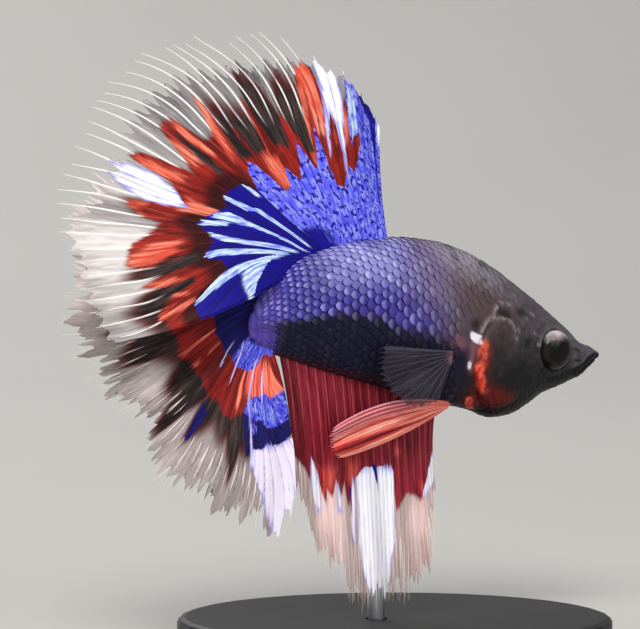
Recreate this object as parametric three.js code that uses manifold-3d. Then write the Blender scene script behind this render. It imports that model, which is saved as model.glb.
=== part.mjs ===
// A male halfmoon betta, life size, on a small display stand.
// Millimetres. +Z is up, the head points to +X and its right side faces -Y.
// The origin is the middle of the underside of the stand's base.
import * as THREE from 'three';
import { mergeVertices } from 'three/addons/utils/BufferGeometryUtils.js';
import Module from 'manifold-3d';

const wasm = await Module();
wasm.setup();

// Driving dimensions
const bodyLength = 46.5;        // snout to the end of the tail stem, along its bend
const snoutX = 22.0;
const snoutY = 12.9;
const gap = 0.3;                // between neighbouring pieces
const finHalf = 0.27;           // half of a fin's thickness
const baseLength = 46;
const baseWidth = 34;
const baseThickness = 2.5;
const rodRadius = 0.9;
const rodAt = 0.60;             // along the body, under the left side of the belly
const rodAside = 2.3;
const rodSeat = 1.6;            // depth of the rod's hole in the base
const eyeRadius = 1.95;
const eyeHalfDepth = 1.35;

// Where one length of the body ends and the next begins, from 0 at the snout to 1
const headEnd = 0.40;
const trunkEnd = 0.80;
const seam = gap / bodyLength;

const rad = THREE.MathUtils.degToRad;

// A smooth curve through a few stations that never swings past them
function through(stations) {
  const last = stations.length - 1;
  const slope = (i) => (stations[i + 1][1] - stations[i][1]) / (stations[i + 1][0] - stations[i][0]);
  const tangent = (i) => {
    if (i === 0) return slope(0);
    if (i === last) return slope(last - 1);
    const before = slope(i - 1);
    const after = slope(i);
    return before * after <= 0 ? 0 : (2 * before * after) / (before + after);
  };
  return (x) => {
    let i = 0;
    while (i < last - 1 && x > stations[i + 1][0]) i += 1;
    const [x0, y0] = stations[i];
    const [x1, y1] = stations[i + 1];
    const width = x1 - x0;
    const f = THREE.MathUtils.clamp((x - x0) / width, 0, 1);
    const m0 = tangent(i) * width;
    const m1 = tangent(i + 1) * width;
    return y0 + f * (m0 + f * (3 * (y1 - y0) - 2 * m0 - m1 + f * (2 * (y0 - y1) + m0 + m1)));
  };
}

// Body: sections set square to a bent centre line

const bodyTop = through([
  [0, 29.65], [0.017, 30.15], [0.037, 30.5], [0.055, 30.95], [0.075, 31.9], [0.135, 34.1],
  [0.22, 36.9], [0.305, 39.3],
  [0.39, 41.1], [0.48, 42.2], [0.60, 42.7], [0.74, 42.3], [0.855, 41.2], [0.93, 39.7],
  [0.97, 38.2], [1, 35.8],
]);
const bodyBottom = through([
  [0, 28.6], [0.025, 27.8], [0.06, 26.65], [0.11, 25.75], [0.16, 25.05], [0.2, 24.0],
  [0.25, 23.05], [0.295, 22.9], [0.36, 23.9], [0.435, 24.65], [0.56, 26.1], [0.74, 28.3],
  [0.88, 30.2], [0.95, 31.4], [1, 32.9],
]);
const bodyHalfWidth = through([
  [0, 0.55], [0.02, 1.25], [0.06, 2.0], [0.12, 2.75], [0.20, 3.45], [0.30, 3.9],
  [0.42, 4.0], [0.55, 3.8], [0.70, 3.1], [0.82, 2.3], [0.93, 1.3], [1, 0.5],
]);
const widestAt = through([[0, 0.5], [0.15, 0.5], [0.35, 0.46], [0.6, 0.55], [1, 0.5]]);

const heading = (t) => rad(43 - 58 * (t - 0.6) ** 2);

// The centre line, stepped back from the snout
function centreLine() {
  const step = 0.005;
  const points = [{ x: snoutX, y: snoutY }];
  for (let i = 0; i < 240; i += 1) {
    const h = heading((i + 0.5) * step);
    const { x, y } = points[i];
    points.push({ x: x - bodyLength * step * Math.cos(h), y: y - bodyLength * step * Math.sin(h) });
  }
  return (t) => {
    const place = t / step;
    const i = THREE.MathUtils.clamp(Math.floor(place), 0, points.length - 2);
    const f = place - i;
    return {
      x: THREE.MathUtils.lerp(points[i].x, points[i + 1].x, f),
      y: THREE.MathUtils.lerp(points[i].y, points[i + 1].y, f),
    };
  };
}
const centre = centreLine();

// A point at length t, a distance to the fish's right, and a height
function beside(t, right, z) {
  const { x, y } = centre(t);
  const h = heading(t);
  return new THREE.Vector3(x + right * Math.sin(h), y - right * Math.cos(h), z);
}

// A point on the skin: angle 0 is the back, a quarter turn the right flank
function skinPoint(t, angle, grow = 0) {
  const top = bodyTop(t) + grow;
  const bottom = bodyBottom(t) - grow;
  const waist = THREE.MathUtils.lerp(bottom, top, widestAt(t));
  const rise = Math.cos(angle);
  const z = waist + rise * (rise > 0 ? top - waist : waist - bottom);
  const side = Math.sign(Math.sin(angle)) * Math.abs(Math.sin(angle)) ** 0.9;
  return beside(t, (bodyHalfWidth(t) + grow) * side, z);
}

// A closed body length from one station to another
function bodyLengthSolid(from, to, rings, around = 20, grow = 0) {
  const positions = [];
  const index = [];
  const ends = [];
  for (let i = 0; i <= rings; i += 1) {
    const t = THREE.MathUtils.lerp(from, to, i / rings);
    for (let j = 0; j < around; j += 1) {
      positions.push(...skinPoint(t, (2 * Math.PI * j) / around, grow).toArray());
    }
    if (i === 0 || i === rings) ends.push(beside(t, 0, (bodyTop(t) + bodyBottom(t)) / 2));
  }
  for (let i = 0; i < rings; i += 1) {
    for (let j = 0; j < around; j += 1) {
      const a = i * around + j;
      const b = i * around + ((j + 1) % around);
      index.push(a, a + around, b, b, a + around, b + around);
    }
  }
  const firstHub = positions.length / 3;
  positions.push(...ends[0].toArray(), ...ends[1].toArray());
  for (let j = 0; j < around; j += 1) {
    const next = (j + 1) % around;
    const lastRing = rings * around;
    index.push(firstHub, j, next, firstHub + 1, lastRing + next, lastRing + j);
  }
  return solid(positions, index);
}

// Solids and cuts

function solid(positions, index) {
  return new wasm.Manifold(new wasm.Mesh({
    numProp: 3,
    vertProperties: new Float32Array(positions),
    triVerts: new Uint32Array(index),
  }));
}

function solidOf(geometry) {
  const plain = geometry.clone();
  plain.deleteAttribute('normal');
  plain.deleteAttribute('uv');
  const merged = mergeVertices(plain, 1e-4);
  return solid(merged.attributes.position.array, merged.index.array);
}

function meshOf(name, shape, material) {
  const { vertProperties, triVerts } = shape.getMesh();
  const geometry = new THREE.BufferGeometry();
  geometry.setAttribute('position', new THREE.BufferAttribute(vertProperties, 3));
  geometry.setIndex(new THREE.BufferAttribute(triVerts, 1));
  geometry.computeVertexNormals();
  const mesh = new THREE.Mesh(geometry, material);
  mesh.name = name;
  return mesh;
}

// A side-view outline pushed through the body at length t: points run forward of t and up
function sideBlock(t, outline, rightFrom, rightTo) {
  const shape = new THREE.Shape(outline.map(([forward, z]) => new THREE.Vector2(forward, z)));
  const block = new THREE.ExtrudeGeometry(shape, { depth: rightTo - rightFrom, bevelEnabled: false });
  const origin = beside(t, 0, 0);
  const h = heading(t);
  block.rotateX(Math.PI / 2);
  block.translate(0, -rightFrom, 0);
  block.rotateZ(h);
  block.translate(origin.x, origin.y, 0);
  return solidOf(block);
}

function finish(colour, roughness = 0.45, metalness = 0) {
  return new THREE.MeshStandardMaterial({ color: colour, roughness, metalness });
}

// Eyes

const eye = { at: 0.148, height: 30.03, sunk: 0.95 };

function eyeball(side, grow = 0) {
  const ball = new THREE.SphereGeometry(1, 16, 9);
  ball.scale(eyeRadius + grow, eyeHalfDepth + grow, eyeRadius + grow);
  ball.rotateZ(heading(eye.at) + side * rad(6));
  const place = beside(eye.at, side * (bodyHalfWidth(eye.at) - eye.sunk), eye.height);
  ball.translate(place.x, place.y, place.z);
  return solidOf(ball);
}

// Head

// The lower jaw, in side view, forward of the snout's station
function jawOutline(clear) {
  return [
    [3, 28.95 + clear], [-0.2, 28.95 + clear], [-2.6, 27.6 + clear], [-4.0 - clear, 26.9 + clear],
    [-5.4 - clear, 24.0], [-5.4 - clear, 20], [3, 20],
  ];
}

// The gill cover, in side view: straight in front, rounded behind
function gillOutline(clear) {
  const points = [];
  const front = 2.4 + clear;
  for (let i = 0; i <= 12; i += 1) {
    const a = Math.PI / 2 + (Math.PI * i) / 12;
    points.push([-0.4 + (3.6 + clear) * Math.cos(a), 29.2 + (4.7 + clear) * Math.sin(a)]);
  }
  points.push([front - 0.6, 24.5 - clear], [front, 26.5], [front, 31.5], [front - 0.9, 33.9 + clear]);
  return points.reverse();
}
const gillAt = 0.30;

function gillPocket(side, clear) {
  const reach = side > 0 ? [0.6, 8] : [-8, -0.6];
  return sideBlock(gillAt, gillOutline(clear), ...reach);
}

function gillCover(side) {
  const outer = bodyLengthSolid(0.15, 0.45, 7, 20, 0.4);
  const inner = bodyLengthSolid(0.13, 0.47, 7, 20, -0.6);
  return outer.intersect(gillPocket(side, 0)).subtract(inner);
}

function headSolid() {
  const core = bodyLengthSolid(0.13, 0.47, 7, 20, -0.9);
  let head = bodyLengthSolid(0, headEnd, 12);
  head = head.subtract(sideBlock(0, jawOutline(gap), -6, 6));
  for (const side of [1, -1]) {
    head = head.subtract(eyeball(side, gap)).subtract(gillPocket(side, gap).subtract(core));
  }
  return head;
}

const jawSolid = () => bodyLengthSolid(0, 0.16, 8).intersect(sideBlock(0, jawOutline(0), -6, 6));

// Fins

// A point on a fin: across 0 is its first ray and 1 its last, out 0 is the root and 1 the margin
function finPoint(fin, across, out) {
  const root = fin.root(across);
  const angle = rad(fin.angle(across));
  const cusp = 1 - fin.notch * (0.5 - 0.5 * Math.cos(2 * Math.PI * fin.rays * across)) * out ** 3;
  const reach = fin.reach(across) * out * cusp;
  const bow = fin.bow(across) * out * (1 - out) * 4;
  const x = reach * Math.cos(angle) - bow * Math.sin(angle);
  const z = reach * Math.sin(angle) + bow * Math.cos(angle);
  const settle = 1 - (1 - out) ** fin.ease;
  const turn = fin.waves * across + fin.phase + fin.twist * out;
  const wave = fin.ripple * out ** 1.6 * Math.sin(2 * Math.PI * turn);
  const y = x * Math.tan(rad(fin.yaw)) + fin.drift(across) * settle + wave;
  return new THREE.Vector3(root.x + x, root.y + y, root.z + z);
}

// The fin as a closed sheet of even thickness, two columns to each ray
function finSolid(fin) {
  const columns = 2 * fin.rays;
  const at = (i, j) => finPoint(fin, i / columns, j / fin.rows);
  const positions = [];
  for (const side of [1, -1]) {
    for (let i = 0; i <= columns; i += 1) {
      for (let j = 0; j <= fin.rows; j += 1) {
        const along = at(Math.min(i + 1, columns), j).sub(at(Math.max(i - 1, 0), j));
        const outward = at(i, Math.min(j + 1, fin.rows)).sub(at(i, Math.max(j - 1, 0)));
        const normal = along.cross(outward).normalize();
        positions.push(...at(i, j).addScaledVector(normal, side * finHalf).toArray());
      }
    }
  }
  const stride = fin.rows + 1;
  const back = (columns + 1) * stride;
  const index = [];
  const quad = (a, b, c, d) => index.push(a, b, c, a, c, d);
  for (let i = 0; i < columns; i += 1) {
    for (let j = 0; j < fin.rows; j += 1) {
      const a = i * stride + j;
      quad(a, a + stride, a + stride + 1, a + 1);
      quad(back + a, back + a + 1, back + a + stride + 1, back + a + stride);
    }
    const rootEdge = i * stride;
    const tipEdge = rootEdge + fin.rows;
    quad(rootEdge, back + rootEdge, back + rootEdge + stride, rootEdge + stride);
    quad(tipEdge, tipEdge + stride, back + tipEdge + stride, back + tipEdge);
  }
  for (let j = 0; j < fin.rows; j += 1) {
    const lastColumn = columns * stride + j;
    quad(j, j + 1, back + j + 1, back + j);
    quad(lastColumn, back + lastColumn, back + lastColumn + 1, lastColumn + 1);
  }
  return solid(positions, index);
}

const steady = (value) => () => value;
const rootDepth = 0.9;          // how far a root starts inside the skin before it is cut

const dorsal = {
  rays: 20, rows: 6, notch: 0.07, ease: 3.4, yaw: 0, ripple: 0.8, waves: 4.2, phase: 0.1, twist: 0.15,
  root: (across) => {
    const t = 0.615 + 0.275 * (1 - (1 - across) ** 2);
    return beside(t, 0, bodyTop(t) - rootDepth);
  },
  angle: through([[0, 93.5], [0.1, 97], [0.24, 109], [0.37, 122], [0.47, 131.5], [0.56, 141.5],
    [0.67, 155], [0.75, 164.5], [0.87, 181], [1, 200]]),
  reach: through([[0, 12.6], [0.1, 17.4], [0.24, 22.4], [0.37, 24.6], [0.47, 26.2], [0.56, 26],
    [0.67, 24.2], [0.75, 24.4], [0.87, 21.5], [1, 20]]),
  bow: through([[0, 0.3], [0.4, 0], [0.8, -0.2], [1, 1.0]]),
  drift: through([[0, 0.8], [0.3, -1.5], [0.6, -5], [1, -8.8]]),
};

const caudal = {
  rays: 26, rows: 6, notch: 0.06, ease: 2.2, yaw: 0, ripple: 0.9, waves: 5.3, phase: 0.35, twist: 0.2,
  root: (across) => {
    const swing = rad(THREE.MathUtils.lerp(62, 292, across));
    const t = 0.955 - 0.012 * Math.cos(swing);
    const z = 34.9 + 3.0 * Math.sin(swing);
    return beside(t, 0, z);
  },
  angle: through([[0, 133], [0.087, 144.5], [0.17, 155], [0.3, 171.2], [0.39, 183.8], [0.465, 195],
    [0.567, 210], [0.63, 216], [0.735, 232], [0.81, 245.5], [0.882, 258.4], [0.934, 265], [1, 277]]),
  reach: through([[0, 20], [0.087, 21.5], [0.17, 22.7], [0.228, 22], [0.3, 20.3], [0.39, 20.7],
    [0.465, 19.7], [0.567, 18.8], [0.63, 15.6], [0.735, 18.2], [0.81, 18], [0.882, 18.4],
    [0.934, 20.2], [1, 18.5]]),
  bow: through([[0, 0.6], [0.5, 0], [0.9, 0.6], [1, 1.0]]),
  drift: through([[0, 2.2], [0.3, 0.6], [0.6, -0.8], [1, -4.6]]),
};

const anal = {
  rays: 18, rows: 6, notch: 0.05, ease: 1.6, yaw: 0, ripple: 0.9, waves: 4.6, phase: 0.2, twist: 0.25,
  root: (across) => {
    const t = THREE.MathUtils.lerp(0.462, 0.93, across);
    return beside(t, 0, bodyBottom(t) + rootDepth);
  },
  angle: through([[0, 277.5], [0.1, 274], [0.4, 273.5], [0.7, 274], [0.92, 275], [1, 276]]),
  reach: through([[0, 16.8], [0.1, 19], [0.25, 22.4], [0.4, 23.5], [0.55, 24.6], [0.62, 25],
    [0.67, 24.5], [0.7, 21.8], [0.82, 22], [0.87, 21.8], [0.92, 17], [1, 15]]),
  bow: through([[0, -1.3], [0.15, 0], [0.4, 0.3], [1, 0.3]]),
  drift: through([[0, -2], [0.4, -0.6], [1, 1.4]]),
};

const pectoral = {
  rays: 8, rows: 3, notch: 0.06, ease: 1, yaw: 38, ripple: 0.3, waves: 2, phase: 0.1, twist: 0.1,
  root: (across) => beside(0.495 + 0.004 * across, 3.9, 30.9 - 1.6 * across),
  angle: through([[0, 171], [0.3, 188], [0.7, 221], [1, 252]]),
  reach: through([[0, 7.5], [0.3, 7.8], [0.7, 7.2], [1, 4.9]]),
  bow: steady(0),
  drift: through([[0, -1.5], [1, -1.2]]),
};

const pelvicRight = {
  rays: 6, rows: 5, notch: 0.07, ease: 1.4, yaw: 41, ripple: 0.25, waves: 1.6, phase: 0.3, twist: 0.2,
  root: (across) => beside(0.46 + 0.004 * across, 1.9 - 0.3 * across, 25.2 - 0.5 * across),
  angle: through([[0, 187], [0.4, 192], [0.75, 197], [1, 200.5]]),
  reach: through([[0, 12.4], [0.35, 12.7], [0.75, 12.6], [1, 12.1]]),
  bow: through([[0, -1.4], [0.5, -0.6], [1, 0.6]]),
  drift: through([[0, -1.6], [1, -1.2]]),
};

const pelvicLeft = {
  rays: 5, rows: 5, notch: 0.07, ease: 1.4, yaw: 20, ripple: 0.2, waves: 1.4, phase: 0.2, twist: 0.2,
  root: (across) => beside(0.435 + 0.004 * across, -1.9 + 0.3 * across, 25.9 - 1.1 * across),
  angle: through([[0, 236], [0.5, 247], [1, 258]]),
  reach: through([[0, 7], [0.4, 11.5], [0.7, 12], [1, 8]]),
  bow: steady(0.2),
  drift: through([[0, 1.8], [1, 1.2]]),
};

// The left pectoral fin is the right one seen in a mirror along the body
function mirrored(shape, t) {
  const h = heading(t);
  const { x, y } = centre(t);
  const flip = new THREE.Matrix4().makeTranslation(x, y, 0)
    .multiply(new THREE.Matrix4().makeRotationZ(h))
    .multiply(new THREE.Matrix4().makeScale(1, -1, 1))
    .multiply(new THREE.Matrix4().makeRotationZ(-h))
    .multiply(new THREE.Matrix4().makeTranslation(-x, -y, 0));
  return shape.transform(flip.elements);
}

// Stand

function standBase() {
  const profile = [];
  const edge = 0.6;
  const bevel = (2 * edge) / baseWidth;
  profile.push(new THREE.Vector2(0, 0), new THREE.Vector2(1 - bevel / 2, 0), new THREE.Vector2(1, edge / 2));
  for (let i = 0; i <= 2; i += 1) {
    const a = (Math.PI / 2) * (i / 2);
    profile.push(new THREE.Vector2(1 - bevel * (1 - Math.cos(a)), baseThickness - edge * (1 - Math.sin(a))));
  }
  profile.push(new THREE.Vector2(0, baseThickness));
  const plate = new THREE.LatheGeometry(profile, 36);
  plate.rotateX(Math.PI / 2);
  plate.scale(baseLength / 2, baseWidth / 2, 1);
  const hole = new THREE.CylinderGeometry(rodRadius + gap, rodRadius + gap, 2 * rodSeat, 16);
  const place = beside(rodAt, -rodAside, baseThickness);
  hole.rotateX(Math.PI / 2);
  hole.translate(place.x, place.y, place.z);
  return solidOf(plate).subtract(solidOf(hole));
}

function standRod(body) {
  const foot = baseThickness - rodSeat + gap;
  const head = bodyBottom(rodAt) + 4;
  const place = beside(rodAt, -rodAside, (head + foot) / 2);
  const rod = new THREE.CylinderGeometry(rodRadius, rodRadius, head - foot, 16);
  rod.rotateX(Math.PI / 2);
  rod.translate(place.x, place.y, place.z);
  return solidOf(rod).subtract(body);
}

// Assembly

const nearBody = bodyLengthSolid(-0.002, 1.004, 26, 20, gap);

// What is left of a fin outside the skin: its largest piece, as a root may end in a crumb inside
function clearOfBody(shape) {
  const pieces = shape.subtract(nearBody).decompose();
  return pieces.reduce((best, piece) => (piece.volume() > best.volume() ? piece : best));
}

const fish = new THREE.Group();
const add = (name, shape, material) => fish.add(meshOf(name, shape, material));

const darkHead = finish(0x3c3438);
const scaled = finish(0x4b4196, 0.35);
const redFin = finish(0xa01c20, 0.4);

add('head', headSolid(), darkHead);
add('lower_jaw', jawSolid(), finish(0x1c1a1e));
add('gill_cover_right', gillCover(1), finish(0x30262c));
add('gill_cover_left', gillCover(-1), finish(0x30262c));
add('trunk', bodyLengthSolid(headEnd + seam, trunkEnd, 9), scaled);
add('tail_stem', bodyLengthSolid(trunkEnd + seam, 1, 8), scaled);
add('eye_right', eyeball(1), finish(0x0c0a0a, 0.1));
add('eye_left', eyeball(-1), finish(0x0c0a0a, 0.1));
add('dorsal_fin', clearOfBody(finSolid(dorsal)), finish(0x2f3ac8, 0.35));
add('caudal_fin', clearOfBody(finSolid(caudal)), redFin);
add('anal_fin', clearOfBody(finSolid(anal)), finish(0x7a1424, 0.4));
add('pectoral_fin_right', clearOfBody(finSolid(pectoral)), finish(0x3a2c34, 0.4));
add('pectoral_fin_left', clearOfBody(mirrored(finSolid(pectoral), 0.495)), finish(0x3a2c34, 0.4));
add('pelvic_fin_right', clearOfBody(finSolid(pelvicRight)), finish(0xe0502c, 0.4));
add('pelvic_fin_left', clearOfBody(finSolid(pelvicLeft)), finish(0xe0502c, 0.4));
add('stand_base', standBase(), finish(0x1a1a1c, 0.3));
add('stand_rod', standRod(nearBody), finish(0xb8bcc0, 0.25, 1));

export default fish;
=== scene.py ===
import math
import bpy
import numpy as np
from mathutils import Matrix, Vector


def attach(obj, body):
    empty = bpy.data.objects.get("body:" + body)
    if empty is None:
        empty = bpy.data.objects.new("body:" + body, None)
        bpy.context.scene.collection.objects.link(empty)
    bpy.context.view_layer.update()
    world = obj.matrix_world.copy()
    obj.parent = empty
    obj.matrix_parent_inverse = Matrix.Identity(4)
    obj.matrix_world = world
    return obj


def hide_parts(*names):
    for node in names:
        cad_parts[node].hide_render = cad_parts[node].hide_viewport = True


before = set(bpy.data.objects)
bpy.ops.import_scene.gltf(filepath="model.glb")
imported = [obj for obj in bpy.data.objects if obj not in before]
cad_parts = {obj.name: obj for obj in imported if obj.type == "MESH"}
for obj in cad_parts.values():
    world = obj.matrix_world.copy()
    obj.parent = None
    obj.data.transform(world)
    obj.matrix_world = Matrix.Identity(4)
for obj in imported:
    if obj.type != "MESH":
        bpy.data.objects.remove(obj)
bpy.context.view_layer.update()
millimetre = 0.001
dice = np.random.default_rng(41)


def through(stops):
    # a smooth curve through the stops that never overshoots them
    xs = np.array([stop[0] for stop in stops], float)
    ys = np.array([stop[1] for stop in stops], float)
    slopes = np.diff(ys) / np.diff(xs)
    product = slopes[:-1] * slopes[1:]
    total = np.where(product > 0, slopes[:-1] + slopes[1:], 1)
    inner = np.where(product > 0, 2 * product / total, 0)
    tangents = np.concatenate([slopes[:1], inner, slopes[-1:]])

    def curve(x):
        x = np.asarray(x, float)
        i = np.clip(np.searchsorted(xs, x, side="right") - 1, 0, len(xs) - 2)
        width = xs[i + 1] - xs[i]
        q = np.clip((x - xs[i]) / width, 0, 1)
        low = tangents[i] * width
        high = tangents[i + 1] * width
        rise = ys[i + 1] - ys[i]
        return ys[i] + q * (low + q * (3 * rise - 2 * low - high + q * (low + high - 2 * rise)))
    return curve


def spiked(stops):
    # straight lines from stop to stop, for edges that run out in points
    xs = [stop[0] for stop in stops]
    ys = [stop[1] for stop in stops]
    return lambda x: np.interp(x, xs, ys)


def rising(x, low, high):
    q = np.clip((np.asarray(x, float) - low) / (high - low), 0, 1)
    return q * q * (3 - 2 * q)


def bump(x, middle, half):
    return np.exp(-((np.asarray(x, float) - middle) / half) ** 2)


def unit(vectors):
    return vectors / np.maximum(np.linalg.norm(vectors, axis=-1, keepdims=True), 1e-9)


def gridFaces(rows, columns, closed=False):
    # quads of a grid of points laid out row by row
    row = np.arange(rows - 1)[:, None]
    column = np.arange(columns if closed else columns - 1)[None, :]
    after = (column + 1) % columns
    quads = [row * columns + column, row * columns + after,
             (row + 1) * columns + after, (row + 1) * columns + column]
    return np.stack(quads, -1).reshape(-1, 4)


def tubeFaces(rows, columns):
    # a grid closed all round, with a flat end at its first and at its last row
    last = (rows - 1) * columns
    return [*gridFaces(rows, columns, True).tolist(), list(range(columns))[::-1],
            list(range(last, last + columns))]


def edgeLoop(rows, columns):
    # the outer points of a grid, once round
    return [*range(columns), *[row * columns + columns - 1 for row in range(1, rows)],
            *[(rows - 1) * columns + column for column in range(columns - 2, -1, -1)],
            *[row * columns for row in range(rows - 2, 0, -1)]]


def gridNormals(grid, closed=False):
    down = np.gradient(grid, axis=0)
    if closed:
        along = (np.roll(grid, -1, 1) - np.roll(grid, 1, 1)) / 2
    else:
        along = np.gradient(grid, axis=1)
    return unit(np.cross(along, down))


def makePiece(name, points, faces, marks, slotName, *replaced):
    # a mesh in metres from points in millimetres, with its marks as attributes
    points = np.asarray(points, float).reshape(-1, 3)
    quads = [list(map(int, face)) for face in faces]
    first = points[[face[0] for face in quads]]
    second = points[[face[1] for face in quads]]
    third = points[[face[2] for face in quads]]
    if np.einsum("ij,ij->i", first, np.cross(second, third)).sum() < 0:
        quads = [face[::-1] for face in quads]
    mesh = bpy.data.meshes.new(name)
    mesh.from_pydata((points * millimetre).tolist(), [], quads)
    for mark, values in marks.items():
        layer = mesh.attributes.new(mark, "FLOAT", "POINT")
        layer.data.foreach_set("value", np.asarray(values, np.float32).ravel())
    mesh.polygons.foreach_set("use_smooth", [True] * len(quads))
    mesh.update()
    piece = bpy.data.objects.new(name, mesh)
    bpy.context.scene.collection.objects.link(piece)
    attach(piece, "root")
    if replaced:
        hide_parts(*replaced)
    return piece


class Wire:
    # one socket, so that shader maths reads as plain expressions
    def __init__(self, paint, socket):
        self.paint = paint
        self.socket = socket

    def maths(self, operation, *values):
        return self.paint.node("Math", {"operation": operation}, list(values))

    def __add__(self, other):
        return self.maths("ADD", self, other)

    def __sub__(self, other):
        return self.maths("SUBTRACT", self, other)

    def __rsub__(self, other):
        return self.maths("SUBTRACT", other, self)

    def __mul__(self, other):
        return self.maths("MULTIPLY", self, other)

    __radd__ = __add__
    __rmul__ = __mul__

    def rising(self, low, high):
        settings = {"interpolation_type": "SMOOTHSTEP"}
        return self.paint.node("MapRange", settings, {"Value": self, "From Min": low, "From Max": high})

    def clamped(self):
        return self.paint.node("Clamp", {}, {"Value": self})


def colour(red, green, blue):
    # a colour as it looks on a screen, 0 to 255, turned linear
    shares = [value / 255 for value in (red, green, blue)]
    linear = [s / 12.92 if s <= 0.04045 else ((s + 0.055) / 1.055) ** 2.4 for s in shares]
    return (*linear, 1.0)


class Paint:
    def __init__(self, name):
        self.material = bpy.data.materials.new(name)
        self.material.use_nodes = True
        self.tree = self.material.node_tree
        self.shader = self.tree.nodes["Principled BSDF"]

    def node(self, kind, settings, values, output=0):
        made = self.tree.nodes.new("ShaderNode" + kind)
        for key, value in settings.items():
            setattr(made, key, value)
        pairs = values.items() if isinstance(values, dict) else enumerate(values)
        for key, value in pairs:
            self.feed(made.inputs[key], value)
        return Wire(self, made.outputs[output])

    def feed(self, socket, value):
        if isinstance(value, Wire):
            self.tree.links.new(value.socket, socket)
        else:
            socket.default_value = value

    def mark(self, name):
        return self.node("Attribute", {"attribute_name": name}, {}, "Fac")

    def place(self):
        return self.node("TexCoord", {}, {}, "Object")

    def vector(self, x, y, z=0.0):
        return self.node("CombineXYZ", {}, [x, y, z])

    def noise(self, vector, scale, detail=2.0, roughness=0.5):
        values = {"Vector": vector, "Scale": scale, "Detail": detail, "Roughness": roughness}
        return self.node("TexNoise", {}, values)

    def mix(self, first, second, share):
        made = self.tree.nodes.new("ShaderNodeMix")
        made.data_type = "RGBA"
        self.feed(made.inputs["Factor"], share)
        self.feed(made.inputs[6], first)
        self.feed(made.inputs[7], second)
        return Wire(self, made.outputs[2])

    def bumped(self, height, strength, depth):
        values = {"Height": height, "Strength": strength, "Distance": depth}
        return self.node("Bump", {}, values)

    def finish(self, **values):
        for key, value in values.items():
            self.feed(self.shader.inputs[key.replace("_", " ")], value)
        return self.material


studio = {
    "target": (-0.0079, 0.0, 0.0344), "distance": 0.36, "elevation": 4.0, "lens": 192.9,
    "dishRadius": 1.3, "dishRise": 0.9, "dishFlat": 0.30, "floorTone": colour(188, 186, 182),
    "floorGrain": 0.94, "skyTone": (0.92, 0.95, 1.0, 1.0), "skyLight": 0.38,
}
lamps = {
    "key": {"at": (-0.10, -0.55, 0.62), "size": 0.34, "watts": 5.4, "tint": (1.0, 0.97, 0.93)},
    "fill": {"at": (0.55, -0.50, 0.22), "size": 0.50, "watts": 2.0, "tint": (0.90, 0.94, 1.0)},
    "back": {"at": (-0.35, 0.50, 0.55), "size": 0.45, "watts": 3.0, "tint": (1.0, 1.0, 1.0)},
}


def aimed(thing, target):
    thing.rotation_euler = (Vector(target) - thing.location).to_track_quat("-Z", "Y").to_euler()


def makeCamera():
    lens = bpy.data.cameras.new("camera")
    lens.lens = studio["lens"]
    lens.clip_start = 0.01
    lens.clip_end = 20.0
    camera = bpy.data.objects.new("camera", lens)
    tilt = math.radians(studio["elevation"])
    reach = studio["distance"]
    x, y, z = studio["target"]
    camera.location = (x, y - reach * math.cos(tilt), z + reach * math.sin(tilt))
    aimed(camera, studio["target"])
    bpy.context.scene.collection.objects.link(camera)
    bpy.context.scene.camera = camera


def makeStage():
    # a wide dish: flat under the stand, rising all round
    around = 96
    steps = 40
    share = np.linspace(0, 1, steps)[:, None]
    turn = np.linspace(0, 2 * np.pi, around, endpoint=False)[None, :]
    radius = studio["dishRadius"] * np.sqrt(share) + 0 * turn
    climb = np.clip(radius / studio["dishRadius"] - studio["dishFlat"], 0, 1) / (1 - studio["dishFlat"])
    points = np.stack([radius * np.cos(turn), radius * np.sin(turn), studio["dishRise"] * climb ** 2], -1)
    mesh = bpy.data.meshes.new("floor")
    mesh.from_pydata(points.reshape(-1, 3).tolist(), [], gridFaces(steps, around, True).tolist())
    mesh.polygons.foreach_set("use_smooth", [True] * len(mesh.polygons))
    floor = bpy.data.objects.new("floor", mesh)
    bpy.context.scene.collection.objects.link(floor)
    paint = Paint("floor_paint")
    grain = paint.noise(paint.place(), 9.0)
    tone = studio["floorTone"]
    shade = paint.mix(tone, tuple(studio["floorGrain"] * value for value in tone[:3]) + (1.0,), grain)
    floor.data.materials.append(paint.finish(Base_Color=shade, Roughness=0.85))


def makeLights():
    for name, lamp in lamps.items():
        light = bpy.data.lights.new(name, "AREA")
        light.energy = lamp["watts"]
        light.size = lamp["size"]
        light.color = lamp["tint"]
        holder = bpy.data.objects.new(name, light)
        holder.location = lamp["at"]
        holder.visible_camera = False
        aimed(holder, studio["target"])
        bpy.context.scene.collection.objects.link(holder)
    world = bpy.data.worlds.new("studio")
    world.use_nodes = True
    sky = world.node_tree.nodes["Background"]
    sky.inputs["Color"].default_value = studio["skyTone"]
    sky.inputs["Strength"].default_value = studio["skyLight"]
    bpy.context.scene.world = world
    bpy.context.scene.view_settings.view_transform = "Standard"


makeCamera()
makeStage()
makeLights()
print("stage ready")


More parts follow.
